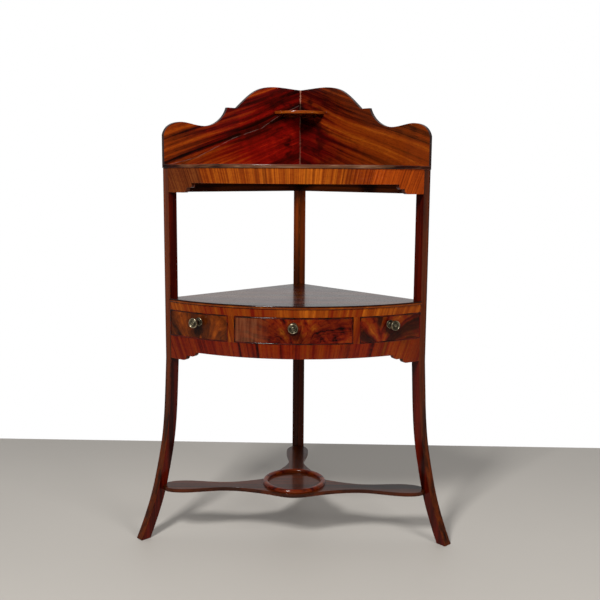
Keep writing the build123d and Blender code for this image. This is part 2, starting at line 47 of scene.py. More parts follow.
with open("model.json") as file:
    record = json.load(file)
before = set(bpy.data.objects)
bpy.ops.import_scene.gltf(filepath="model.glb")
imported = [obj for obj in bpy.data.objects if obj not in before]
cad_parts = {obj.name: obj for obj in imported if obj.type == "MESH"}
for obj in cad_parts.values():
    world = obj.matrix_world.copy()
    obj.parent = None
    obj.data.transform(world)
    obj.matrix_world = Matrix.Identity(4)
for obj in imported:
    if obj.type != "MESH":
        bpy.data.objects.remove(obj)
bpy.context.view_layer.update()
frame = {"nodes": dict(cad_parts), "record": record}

SIDES = ("left", "right")

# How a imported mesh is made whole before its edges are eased
JOIN_GAP = 0.000005
FLAT_TURN = math.radians(0.4)
ARRIS_TURN = math.radians(38)

# The bow, from the veneer of the rail over the drawer
VENEER_LOW, VENEER_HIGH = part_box("upper_rail_veneer")
BOW_HALF = (VENEER_HIGH[0] - VENEER_LOW[0]) / 2
BOW_FRONT = -VENEER_LOW[1]
BOW_SWELL = 0.1067
BOW_RADIUS = (BOW_HALF ** 2 + BOW_SWELL ** 2) / (2 * BOW_SWELL)

# Places of marks in the finish, in metres; a pair is where a mark starts and ends its fading
BOARD_THICK = 0.009
SPLASH_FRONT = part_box("splashback_left")[1][1] - BOARD_THICK
SHELF_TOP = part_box("shelf_board")[1][2]
KNOB_ARC = 0.240
RED_CORNER = (0.06, 0.20)
RED_CORNER_HEIGHT = 1.03
LEFT_LESS_RED = 0.12
WORN_JOINT_HEIGHT = (1.03, 1.09)
# How far from the corner the painted shade in blots reaches
CORNER_SHADE_REACH = (0.03, 0.13)
# Where the painted sheen on the drawer's left third fades out
SHEEN_END = (-0.100, -0.055)
# Height of a painted dark reflection along the top of the shelf's edge
PAINTED_DARK_LINE = (SHELF_TOP - 0.0042, SHELF_TOP - 0.0030)
GREY_LEAF_END = (-0.232, -0.222)
WARM_LEAF_START = (0.12, 0.19)
# Height of the painted shade on the back leg under the case
UNDER_CASE_SHADE_HEIGHT = (0.44, 0.56)

# Turns of the surface over which a mark fades, as parts of the way that it faces
SHELF_EDGE_TURN = (0.35, 0.75)
SHELF_LEVEL = 0.985
TOP_EDGE_TURN = (0.3, 0.9)
SPLASH_RIM_TURN = (0.30, 0.47)
LEG_INSIDE_TURN = (-0.35, 0.35)

# Line of the crack in the left splashback board: distance from the middle and height, in metres
CRACK = [(0.0042, 1.0951), (0.033, 1.0788), (0.0619, 1.0597), (0.0999, 1.0289), (0.1668, 0.9999),
         (0.2517, 0.9477), (0.3086, 0.9297)]
CRACK_FOOT = 0.92
CRACK_RUN = 0.32

# Colours of marks in the finish, painted shade and highlights among them
WORN_JOINT = (0.42, 0.20, 0.13)
PALE_CRACK = (0.34, 0.21, 0.18)
# Painted shade in the splashback's corner, in blots
CORNER_SHADE_BLOT = (0.006, 0.0008, 0.0007)
# Painted shade on the splashback's rim
RIM_PAINTED_SHADE = (0.010, 0.004, 0.003)
# Painted shadow of the knobs, with dirt, round their plates
KNOB_SHADOW_AND_GRIME = (0.004, 0.0008, 0.0006)
# Painted shade on the back leg under the case
UNDER_CASE_SHADE = (0.014, 0.0015, 0.0008)
# Painted sheen on the drawer's left third, a reflection of a light
PAINTED_SHEEN = [(0.3, (0.085, 0.022, 0.008)), (0.7, (0.19, 0.068, 0.028))]
# Painted grey-brown highlight along the top's front edge
EDGE_HIGHLIGHT_COLOURS = [(0.28, (0.012, 0.004, 0.003)), (0.46, (0.10, 0.042, 0.020)), (0.62, (0.20, 0.105, 0.058))]
STEEL_RUST = (0.07, 0.05, 0.04)

# Tints that a finish is multiplied by, painted light and shade among them
# Painted light and shade on the splashback boards: the left one lightened, the right one darkened
LEFT_BOARD_PAINTED_LIGHT = (1.22, 1.1, 0.9)
RIGHT_BOARD_PAINTED_SHADE = (0.87, 0.80, 0.75)
# Painted shade on the front legs' inward faces
LEG_INNER_SHADE_TINT = (0.85, 0.26, 0.45)
GREY_LEAF = (0.52, 0.60, 1.9)
WARM_LEAF = (0.92, 0.62, 0.65)
LEAF_CLOUD = (0.72, 0.58, 0.6)
# Painted shade and reflection: darkens the shelf's browns, red most, so its well-lit top reads grey-green
# like the background it reflects
SHELF_PAINTED_SHADE_TINT = (0.38, 0.62, 0.70)


# Sizes and colours a maker would change

def length(name, words, value, low=0.0, high=1.0):
    return FloatProperty(name=name, description=words, default=value, min=low, max=high, precision=5,
                         unit="LENGTH")


def share(name, words, value, low=0.0, high=1.0):
    return FloatProperty(name=name, description=words, default=value, min=low, max=high, subtype="FACTOR")


def angle(name, words, degrees):
    return FloatProperty(name=name, description=words, default=math.radians(degrees), subtype="ANGLE")


def power(name, words, watts):
    return FloatProperty(name=name, description=words, default=watts, unit="POWER")


def tint(name, words, value):
    return FloatVectorProperty(name=name, description=words, default=value, min=0, max=1, size=3,
                               subtype="COLOR")


class WashstandEdges(bpy.types.PropertyGroup):
    """How far edges and joints are eased."""
    arris: length("Arris", "Easing of the polished boards' edges", 0.0008)
    leg_arris: length("Leg arris", "Easing of the legs' corners", 0.0014)
    inside: length("Inside arris", "Easing of the boards inside the case", 0.0004)
    veneer: length("Veneer edge", "Easing of the veneers' edges", 0.00022)
    bead: length("Bead round", "Rounding of the cock beads", 0.0009)
    board_round: length("Board round", "Rounding of the stretcher's edges", 0.0022)


class WashstandBow(bpy.types.PropertyGroup):
    """The round of the front."""
    radius: length("Bow radius", "Radius of the front's face", BOW_RADIUS, 0.1, 2.0)
    centre: length("Bow centre", "Distance of the bow's centre behind the origin", BOW_RADIUS - BOW_FRONT,
                   -1.0, 2.0)
    lean: FloatProperty(name="Banding lean", description="How fast the banding leans from upright, per metre",
                        default=1.5, min=0.0, max=6.0)


class WashstandTurning(bpy.types.PropertyGroup):
    """Turned work and fittings."""
    ring_radius: length("Ring radius", "Outside radius of the jug ring", 0.0795)
    ring_width: length("Ring width", "Width of the jug ring's rim", 0.0125)
    ring_height: length("Ring height", "Height of the jug ring over the stretcher", 0.0085)
    knob_radius: length("Knob radius", "Radius of a knob's head", 0.0123)
    knob_stand: length("Knob stand", "How far a knob stands out from its front", 0.026)
    knob_head: length("Knob head", "Depth of a knob's head", 0.009)
    screw_head: length("Screw head", "Radius of the splashback screws' heads", 0.0036)
    screw_shank: length("Screw shank", "Radius of the splashback screws' shanks", 0.0018)
    screw_length: length("Screw length", "Whole length of the splashback screws", 0.026)
    block_side: length("Glue block side", "Side of the glue blocks behind the rails", 0.012)
    block_length: length("Glue block length", "Length of a glue block round the bow", 0.034)
    turned_steps: IntProperty(name="Turned steps", description="Steps round a turned piece", default=96,
                              min=24, max=256)


class WashstandFinish(bpy.types.PropertyGroup):
    """Colours and polish."""
    deep: tint("Deep red", "Darkest polish on the mahogany", (0.0075, 0.0012, 0.0007))
    red: tint("Mahogany red", "Middle of the mahogany", (0.150, 0.0060, 0.0014))
    brown: tint("Mahogany brown", "Faded brown of the mahogany", (0.20, 0.035, 0.0022))
    amber: tint("Veneer amber", "Light streaks of the banding", (0.50, 0.125, 0.0075))
    lining: tint("Lining oak", "Drawer lining", (0.36, 0.22, 0.105))
    pine: tint("Old pine", "Hidden rails and blocks", (0.33, 0.175, 0.07))
    brass: tint("Brass", "Knobs and plates", (0.62, 0.53, 0.35))
    steel: tint("Old steel", "Nuts and screws", (0.25, 0.235, 0.22))
    gloss: share("Polish", "Weight of the French polish", 0.5)


class WashstandStudio(bpy.types.PropertyGroup):
    """Floor, light and camera."""
    floor: tint("Floor", "Pale floor", (0.46, 0.43, 0.39))
    wall: tint("Background", "Background behind the stand", (1.0, 1.0, 1.0))
    floor_back: length("Floor back", "How far the floor runs behind the origin", 0.62, 0.2, 5.0)
    floor_front: length("Floor front", "How far the floor runs in front of the origin", 2.3, 0.6, 5.0)
    floor_side: length("Floor side", "Half the floor's width", 5.0, 1.0, 20.0)
    eye: FloatVectorProperty(name="Eye", description="Camera place", default=(0.0699, -2.1413, 0.903),
                             size=3, subtype="TRANSLATION", unit="LENGTH")
    yaw: angle("Yaw", "Camera turn to the left", 1.625)
    pitch: angle("Pitch", "Camera tilt below level", 8.401)
    roll: angle("Roll", "Camera roll", 0.407)
    lens: FloatProperty(name="Lens", description="Focal length on a 36 mm sensor", default=50.25,
                        min=10, max=200, unit="CAMERA")
    room_dark: share("Dark room", "Strength of the room in front of the stand", 0.05, 0.0, 2.0)
    room_pale: share("Pale wall", "Strength of the wall behind the stand", 0.60, 0.0, 2.0)
    key_power: power("Key power", "Power of the soft light on the left", 82.0)
    fill_power: power("Fill power", "Power of the soft light on the right", 34.0)


GROUPS = {
    "washstand_edges": WashstandEdges,
    "washstand_bow": WashstandBow,
    "washstand_turning": WashstandTurning,
    "washstand_finish": WashstandFinish,
    "washstand_studio": WashstandStudio,
}


def edges():
    return bpy.context.scene.washstand_edges


def bow():
    return bpy.context.scene.washstand_bow


def turning():
    return bpy.context.scene.washstand_turning


def finish():
    return bpy.context.scene.washstand_finish


def studio():
    return bpy.context.scene.washstand_studio


# Node building

class Wired:
    """A value in a node tree, with the arithmetic that formulas need."""

    def __init__(self, nodes, socket):
        self.nodes = nodes
        self.socket = socket

    def __add__(self, other):
        return self.nodes.math("ADD", self, other)

    def __sub__(self, other):
        return self.nodes.math("SUBTRACT", self, other)

    def __rsub__(self, other):
        return self.nodes.math("SUBTRACT", other, self)

    def __mul__(self, other):
        return self.nodes.math("MULTIPLY", self, other)

    def __truediv__(self, other):
        return self.nodes.math("DIVIDE", self, other)

    def __pow__(self, other):
        return self.nodes.math("POWER", self, other)

    def __abs__(self):
        return self.nodes.math("ABSOLUTE", self)


class Nodes:
    """Makes and links the nodes of one tree."""

    def __init__(self, tree):
        self.tree = tree

    def feed(self, socket, value):
        """Link a wired value to a socket, or set the socket to a plain one."""
        if isinstance(value, Wired):
            self.tree.links.new(value.socket, socket)
        elif isinstance(value, tuple) and socket.type == "RGBA" and len(value) == 3:
            socket.default_value = (*value, 1.0)
        elif value is not None:
            socket.default_value = value

    def out(self, made, output=0):
        return Wired(self, made.outputs[output])

    def node(self, kind, settings=None, **sockets):
        """A node with its settings, and with its sockets fed by name, where _ stands for a space."""
        made = self.tree.nodes.new(kind)
        for name, value in (settings or {}).items():
            setattr(made, name, value)
        for name, value in sockets.items():
            self.feed(made.inputs[name.replace("_", " ")], value)
        return made

    def reckoned(self, kind, operation, values):
        """A math node with its inputs fed in their order."""
        made = self.node(kind, {"operation": operation})
        for socket, value in zip(made.inputs, values):
            self.feed(socket, value)
        return made

    def math(self, operation, *values):
        return self.out(self.reckoned("ShaderNodeMath", operation, values))

    def vector(self, operation, *values):
        return self.out(self.reckoned("ShaderNodeVectorMath", operation, values))

    def reach(self, across, up):
        """How far a point is from the middle of a plane."""
        return self.out(self.reckoned("ShaderNodeVectorMath", "LENGTH", [self.joined(across, up)]), "Value")

    def parts(self, place):
        made = self.node("ShaderNodeSeparateXYZ", Vector=place)
        return [self.out(made, axis) for axis in range(3)]

    def joined(self, x=0.0, y=0.0, z=0.0):
        return self.out(self.node("ShaderNodeCombineXYZ", X=x, Y=y, Z=z))


class Shade(Nodes):
    """One material, with patterns read from the object's own coordinates or from an attribute."""

    def __init__(self, name):
        self.material = bpy.data.materials.new(name)
        self.material.use_nodes = True
        super().__init__(self.material.node_tree)
        self.tree.nodes.clear()
        output = self.node("ShaderNodeOutputMaterial")
        self.shader = self.node("ShaderNodeBsdfPrincipled")
        self.feed(output.inputs[0], self.out(self.shader))

    def set(self, **sockets):
        """Feed the shader's own sockets."""
        for name, value in sockets.items():
            self.feed(self.shader.inputs[name.replace("_", " ")], value)

    def ramp(self, value, stops, smooth=True):
        """Runs value through (place, colour) stops, where a plain number stands for a grey."""
        made = self.node("ShaderNodeValToRGB", Fac=value)
        made.color_ramp.interpolation = "EASE" if smooth else "LINEAR"
        while len(made.color_ramp.elements) < len(stops):
            made.color_ramp.elements.new(1.0)
        for element, (place, colour) in zip(made.color_ramp.elements, stops):
            element.position = place
            grey = isinstance(colour, (int, float))
            element.color = (colour, colour, colour, 1) if grey else (*colour, 1)
        return self.out(made)

    def fade(self, value, span, first=1.0, last=0.0):
        """Goes from first to last while value crosses a span."""
        start, end = span
        return self.out(self.node("ShaderNodeMapRange", Value=value, From_Min=start, From_Max=end,
                                  To_Min=first, To_Max=last))

    def mix(self, amount, first, second, kind="MIX"):
        made = self.node("ShaderNodeMix", {"data_type": "RGBA", "blend_type": kind})
        for number, value in ((0, amount), (6, first), (7, second)):
            self.feed(made.inputs[number], value)
        return self.out(made, 2)

    def noise(self, place, scale=1.0, detail=3.0, rough=0.5, distort=0.0):
        return self.out(self.node("ShaderNodeTexNoise", Vector=place, Scale=scale, Detail=detail,
                                  Roughness=rough, Distortion=distort))

    def ragged(self, amount, place, *pattern):
        """Noise about nought."""
        return (self.noise(place, *pattern) - 0.5) * amount

    def stretched(self, stretch, place, *pattern):
        """Noise on a stretched place."""
        return self.noise(self.mapped(place, stretch=stretch), 1.0, *pattern)

    def mapped(self, place, turn=(0, 0, 0), stretch=(1, 1, 1), shift=(0, 0, 0)):
        return self.out(self.node("ShaderNodeMapping", Vector=place, Location=shift, Rotation=turn,
                                  Scale=stretch))

    def place(self, attribute=None):
        """The stand's coordinates, or a place kept in an attribute."""
        if attribute:
            return self.out(self.node("ShaderNodeAttribute", {"attribute_name": attribute}), "Vector")
        return self.out(self.node("ShaderNodeTexCoord"), "Object")

    def level(self, attribute):
        """A number kept in an attribute."""
        return self.out(self.node("ShaderNodeAttribute", {"attribute_name": attribute}), "Fac")

    def facing(self):
        """The three parts of the way that the surface faces."""
        return self.parts(self.out(self.node("ShaderNodeTexCoord"), "Normal"))

    def folded(self, place):
        """A place with the left half of the stand folded over the right."""
        across, depth, height = self.parts(place)
        return self.joined(abs(across), depth, height)

    def left_half(self, place):
        """One on the left half of the stand and nothing on the right."""
        return self.math("LESS_THAN", self.parts(place)[0], 0.0)

    def side(self):
        """Minus one on the left half of the stand and one on the right."""
        return 1.0 - self.left_half(self.place()) * 2.0

    def bump(self, height, strength, distance):
        return self.out(self.node("ShaderNodeBump", Height=height, Strength=strength, Distance=distance))


# Colours

def blend(first, second, amount):
    """A colour between two others."""
    return tuple(a + (b - a) * amount for a, b in zip(first, second))


def scaled(colour, amount):
    return tuple(min(1.0, part * amount) for part in colour)


def dimmed(colours, amount):
    return [scaled(colour, amount) for colour in colours]


def tones(colour, *amounts):
    """One colour from dark to light."""
    return [scaled(colour, amount) for amount in amounts]


# Grain

def stained(shade, value, colours, spread):
    """Five colours laid over a grain value that sits round a half."""
    places = [0.5 + spread * step for step in (-1.0, -0.5, 0.0, 0.5, 1.0)]
    return shade.ramp(value, list(zip(places, colours)))


def straightened(around, height, lean):
    """Way round the bow to the foot of grain that leans outwards to the bow's ends."""
    return around + around * height * -lean


def leaning(shade, place, lean):
    """Grain that stands upright in the middle of the bow and leans outwards to its ends."""
    around, depth, height = shade.parts(place)
    return shade.joined(height, straightened(around, height, lean), depth)


def fanned(shade, place, middle, foot, spread, bend):
    """Grain that fans out from a point and bends as it goes, alike on both of its sides."""
    around, depth, height = shade.parts(place)
    sideways, upwards = abs(around - middle), height - foot
    reach = shade.reach(sideways, upwards)
    turn = shade.math("ARCTAN2", upwards, sideways)
    return shade.joined(reach, turn * spread + reach * bend, depth)


def leaves(shade, place, width):
    """Veneer leaves side by side: each has its own piece of grain, its own tone and a fine joint."""
    count = shade.parts(place)[1] / width
    joint = shade.ramp(abs(shade.math("FRACT", count) - 0.5), [(0.0, 0), (0.4935, 0), (0.499, 1)], False)
    chance = shade.node("ShaderNodeTexWhiteNoise", {"noise_dimensions": "1D"}, W=shade.math("FLOOR", count))
    jump = shade.vector("MULTIPLY", shade.out(chance, "Color"), (3.0, 3.0, 3.0))
    return shade.vector("ADD", place, jump), shade.out(chance, "Value") - 0.5, joint


def reddest_in_the_corner(shade, place, colour, outer, broad):
    """The splashback's colour: red in the corner, outer past a ragged line that is nearer on the left."""
    across, _, height = shade.parts(shade.folded(place))
    rise = shade.math("MAXIMUM", height - RED_CORNER_HEIGHT, 0.0) * 0.8
    cloud = (broad - 0.5) * 0.6 - shade.left_half(place) * LEFT_LESS_RED
    return shade.mix(shade.fade(across + rise + cloud, RED_CORNER, 0.0, 1.0), colour, outer)


MATERIALS = {}


def wood(name, colours, turn=(0, 0, 0), tilt=0.0, attribute=None, mirror=False, lean=None, fan=None,
         leaf=0.0, coarse=26.0, along=0.8, wander=0.02, swirl=0.0, spread=0.13, streaks=1.5, streak=0.5,
         sparse=0.0, figure=0.0, figure_scale=9.0, gloss=0.75, rough=0.34, fresh=0.0, worn=0.35,
         bare_edge=False, grime=0.3, outer=None, detail=None):
    """A board's finish. Its grain runs along the turned X of its place; its colours go from dark to light.

    Way of the grain: turn, tilt, mirror, lean and fan, in the object's coordinates or an attribute's.
    Leaf is the width of a veneer's leaves.
    Grain: coarse and along are its fineness across and along its run; wander and swirl bend it, and
    spread softens it. Figure crosses it.
    Veins: streaks is their fineness, streak their depth and sparse their rarity.
    Polish: gloss and rough; fresh is how raw the wood is; worn rubs its edges; a bare edge has no polish.
    Outer is the splashback's colours away from the corner, and detail adds a piece's own marks, painted light
    and shade among them.
    """
    shade = Shade(name)
    origin = shade.place(attribute)
    local = shade.mapped(shade.folded(origin) if mirror else origin, turn)
    if tilt:
        local = shade.mapped(local, (0, tilt, 0))
    if lean:
        local = leaning(shade, origin, lean)
    if fan:
        local = fanned(shade, origin, *fan)
    if leaf:
        local, tone, joint = leaves(shade, local, leaf)

    wobble = (shade.stretched((2.2, 5.0, 5.0), local, 2.0) - 0.5) * wander
    if swirl:
        wobble = wobble + shade.ragged(swirl, origin, 13.0, 2.0, 0.5, 0.8)
    if mirror:
        wobble = wobble + shade.left_half(origin) * 1.7
    grain = shade.vector("ADD", local, shade.joined(0.0, wobble, wobble))
    broad = shade.stretched((along, coarse, coarse), grain, 5.0, 0.6)
    fine = shade.stretched((9.0, 460.0, 460.0), grain, 2.0, 0.6)
    value = broad * 0.86 + fine * 0.14
    if figure:
        flash = shade.stretched((figure_scale * 5, figure_scale, figure_scale), grain, 2.0)
        value = value + (flash - 0.5) * figure
    if leaf:
        value = value + tone * 0.12
    colour = stained(shade, value, colours, spread)
    if outer:
        outer = stained(shade, value, outer, spread)
        colour = reddest_in_the_corner(shade, origin, colour, outer, broad)

    darkest, lightest = colours[0], colours[-1]
    vein = shade.mapped(grain, stretch=(along, coarse * streaks, coarse * streaks), shift=(5.1, 2.3, 8.7))
    vein = shade.ramp(shade.noise(vein, 1.0, 3.0, 0.55), [(0.36 - sparse, 1), (0.47 - sparse, 0)])
    colour = shade.mix(vein * streak, colour, scaled(darkest, 0.7))
    pores = shade.stretched((70.0, 1500.0, 1500.0), grain, 1.0)
    pores = shade.ramp(pores, [(0.0, 1), (0.33, 1), (0.42, 0)])
    colour = shade.mix(pores * 0.5, colour, scaled(darkest, 0.5))
    if leaf:
        colour = shade.mix(joint * 0.7, colour, scaled(darkest, 0.6))
    dirt = shade.ramp(shade.stretched((4.0, 11.0, 11.0), local, 3.0, 0.55), [(0.34, 1), (0.54, 0)])
    colour = shade.mix(dirt * grime, colour, scaled(darkest, 1.2))
    if worn:
        edge = shade.level("arris")
        rubbed = shade.ramp(shade.noise(origin, 34.0, 3.0, 0.6), [(0.40, 0), (0.62, 1)])
        colour = shade.mix(edge * 0.55, colour, scaled(darkest, 1.2))
        colour = shade.mix(edge * rubbed * worn, colour, scaled(lightest, 1.25))
    if detail:
        colour = detail(shade, colour)

    scratch = shade.noise(shade.mapped(origin, (0.3, 0.9, 0.4), (12.0, 900.0, 12.0)), 1.0, 1.0)
    scratch = shade.ramp(scratch, [(0.70, 0), (0.78, 1)])
    relief = shade.bump(pores * -0.6 + fine * 0.25 + scratch * -0.4, 0.16 + fresh * 0.4, 0.0003)
    shade.set(Base_Color=colour,
              Roughness=shade.noise(origin, 24.0, 3.0, 0.6) * 0.16 + (rough - 0.08) + scratch * 0.12,
              Normal=relief,
              Specular_IOR_Level=0.05 + 0.3 * fresh,
              Coat_Weight=gloss - shade.level("arris") * gloss if bare_edge else gloss,
              Coat_Roughness=0.1 + 0.3 * fresh,
              Coat_IOR=1.5,
              Coat_Normal=shade.bump(shade.noise(origin, 5.0, 1.0), 0.2, 0.0012))
    MATERIALS[name] = shade.material


def metal(name, colour, dark, rough, scale=90.0):
    """Aged metal: darker where its tarnish-and-shade level is high, with tarnish in its hollows and painted
    shade on the knobs' plates and necks, and bright where hands rub it.
    """
    shade = Shade(name)
    place = shade.place()
    cloud = shade.ramp(shade.noise(place, scale, 4.0, 0.6), [(0.36, 0), (0.66, 1)])
    dull = shade.level("tarnish") * (shade.ragged(0.5, place, scale * 8, 2.0) + 0.95)
    shade.set(Base_Color=shade.mix(dull, shade.mix(cloud, dark, colour), scaled(dark, 0.12)),
              Metallic=1.0,
              Roughness=shade.noise(place, scale * 3) * 0.22 + (rough - 0.1) + dull * 0.25,
              Normal=shade.bump(shade.noise(place, 1400.0, 2.0), 0.12, 0.0002))
    MATERIALS[name] = shade.material


# Marks in the finish: signs of age, and painted light and shade

def splash_wear(shade, colour):
    """The splashback: painted light on its left board and painted shade on its right, a pale worn joint,
    painted shade in blots in the corner and on its rim, and the crack up the left board.
    """
    place = shade.place()
    across, depth, height = shade.parts(place)
    apart = abs(across)
    # Painted light and shade: the left board is multiplied lighter and the right board darker
    tone = shade.mix(shade.left_half(place), RIGHT_BOARD_PAINTED_SHADE, LEFT_BOARD_PAINTED_LIGHT)
    colour = shade.mix(1.0, colour, tone, "MULTIPLY")

    joint = shade.ramp((apart + shade.ragged(0.006, place, 160.0, 2.0)) * 100.0, [(0.08, 1), (0.26, 0)])
    upper = shade.fade(height, WORN_JOINT_HEIGHT, 0.22, 0.85)
    inside = shade.math("LESS_THAN", depth, SPLASH_FRONT)
    colour = shade.mix(joint * upper * inside, colour, WORN_JOINT)
    # Painted shade in the corner where the boards meet, broken into blots
    corner_shade = shade.ramp(shade.stretched((14.0, 14.0, 26.0), place, 3.0, 0.6), [(0.50, 0), (0.64, 0.85)])
    colour = shade.mix(corner_shade * shade.fade(apart, CORNER_SHADE_REACH), colour, CORNER_SHADE_BLOT)

    curve = shade.node("ShaderNodeFloatCurve", Value=across * -1.0 / CRACK_RUN)
    points = curve.mapping.curves[0].points
    while len(points) < len(CRACK):
        points.new(0.5, 0.5)
    for point, (x, z) in zip(points, CRACK):
        point.location = (x / CRACK_RUN, (z - CRACK_FOOT) / CRACK_RUN)
        point.handle_type = "VECTOR"
    curve.mapping.update()
    line = shade.out(curve) * CRACK_RUN + CRACK_FOOT
    away = abs(height + shade.ragged(0.003, place, 60.0, 2.0) - line)
    crack = shade.ramp(away * 100.0, [(0.05, 1), (0.11, 0)])
    broken = shade.ramp(shade.noise(place, 45.0, 2.0), [(0.34, 0.03), (0.60, 0.3)])
    colour = shade.mix(crack * broken * shade.math("LESS_THAN", across, -0.003), colour, PALE_CRACK)

    # Painted shade on the boards' edges and on every face that does not face the front
    sideways, forward, _ = shade.facing()
    rim = shade.fade(sideways * forward * shade.side(), SPLASH_RIM_TURN, 0.95, 0.0)
    return shade.mix(rim, colour, RIM_PAINTED_SHADE)


def knob_dirt(shade, colour):
    """Painted shadow of the knobs with dirt round their plates: a ragged dark ring that fades out about 26 mm
    from each knob's middle.
    """
    around, _, height = shade.parts(shade.place("bow_place"))
    across = abs(around)
    nearest = shade.math("MINIMUM", across, abs(across - KNOB_ARC))
    away = (shade.reach(nearest, height) + shade.ragged(0.02, shade.place(), 90.0)) * 10.0
    return shade.mix(shade.ramp(away, [(0.08, 0.85), (0.14, 0.5), (0.26, 0)]), colour, KNOB_SHADOW_AND_GRIME)


def bleached(shade, colour):
    """The drawer's front: a painted sheen over its left third, a dull pinkish-brown reflection of a light,
    and painted shadow with dirt round the knob.
    """
    bow_place = shade.place("bow_place")
    around = shade.parts(bow_place)[0] + shade.ragged(0.05, shade.place(), 30.0)
    dull = shade.ramp(shade.stretched((150.0, 0.0, 12.0), bow_place, 3.0, 0.6), PAINTED_SHEEN)
    return knob_dirt(shade, shade.mix(shade.fade(around, SHEEN_END, 0.62, 0.0), colour, dull))


def sheltered(shade, colour):
    """A front leg with painted shade: its faces that look in under the stand are multiplied darker and
    redder.
    """
    outward = shade.facing()[0] * shade.side()
    return shade.mix(shade.fade(outward, LEG_INSIDE_TURN), colour, LEG_INNER_SHADE_TINT, "MULTIPLY")


def lipped(shade, colour):
    """A shelf with a lighter lipping along its edge, in short leaves, and a painted dark reflection of the
    room along the top of the edge.
    """
    upward = shade.facing()[2]
    leaf = shade.stretched((16.0, 0.0, 0.0), shade.place("bow_place"), 3.0, 0.7)
    brown, amber = tuple(finish().brown), tuple(finish().amber)
    band = shade.ramp(leaf, [(0.36, scaled(brown, 0.4)), (0.5, brown), (0.66, blend(brown, amber, 0.4))])
    colour = shade.mix(shade.fade(abs(upward), SHELF_EDGE_TURN, 0.9, 0.0), colour, band)
    line = shade.fade(shade.parts(shade.place())[2], PAINTED_DARK_LINE, 0.0, 0.9)
    # Painted dark reflection along the top of the edge
    return shade.mix(line * shade.math("LESS_THAN", upward, SHELF_LEVEL), colour, tuple(finish().deep))


def faded_edge(shade, colour):
    """The top's front edge: a painted grey-brown highlight, darker towards its ends."""
    bow_place = shade.place("bow_place")
    around = abs(shade.parts(bow_place)[0])
    cloud = shade.stretched((9.0, 0.0, 60.0), bow_place, 3.0, 0.6) - around ** 2.0 * 2.2
    edge = shade.fade(abs(shade.facing()[2]), TOP_EDGE_TURN, 0.9, 0.0)
    return shade.mix(edge, colour, shade.ramp(cloud, EDGE_HIGHLIGHT_COLOURS))


def end_leaves(shade, colour):
    """The banding's last leaves: a greyer one on the left and redder ones on the right."""
    bow_place = shade.place("bow_place")
    around, _, height = shade.parts(bow_place)
    around = straightened(around, height, bow().lean)
    colour = shade.mix(shade.fade(around, GREY_LEAF_END), colour, GREY_LEAF, "MULTIPLY")
    colour = shade.mix(shade.fade(around, WARM_LEAF_START, 0.0, 1.0), colour, WARM_LEAF, "MULTIPLY")
    cloud = shade.ramp(shade.stretched((11.0, 0.0, 4.0), bow_place, 2.0), [(0.42, 0.0), (0.62, 0.7)])
    return shade.mix(cloud, colour, LEAF_CLOUD, "MULTIPLY")


def foot_dirt(shade, colour):
    """A leg with painted shade under the case: darker below about half a metre, with a ragged edge."""
    place = shade.place()
    height = shade.parts(place)[2] + shade.ragged(0.2, place, 9.0)
    return shade.mix(shade.fade(height, UNDER_CASE_SHADE_HEIGHT, 0.8, 0.0), colour, UNDER_CASE_SHADE)


# Finishes

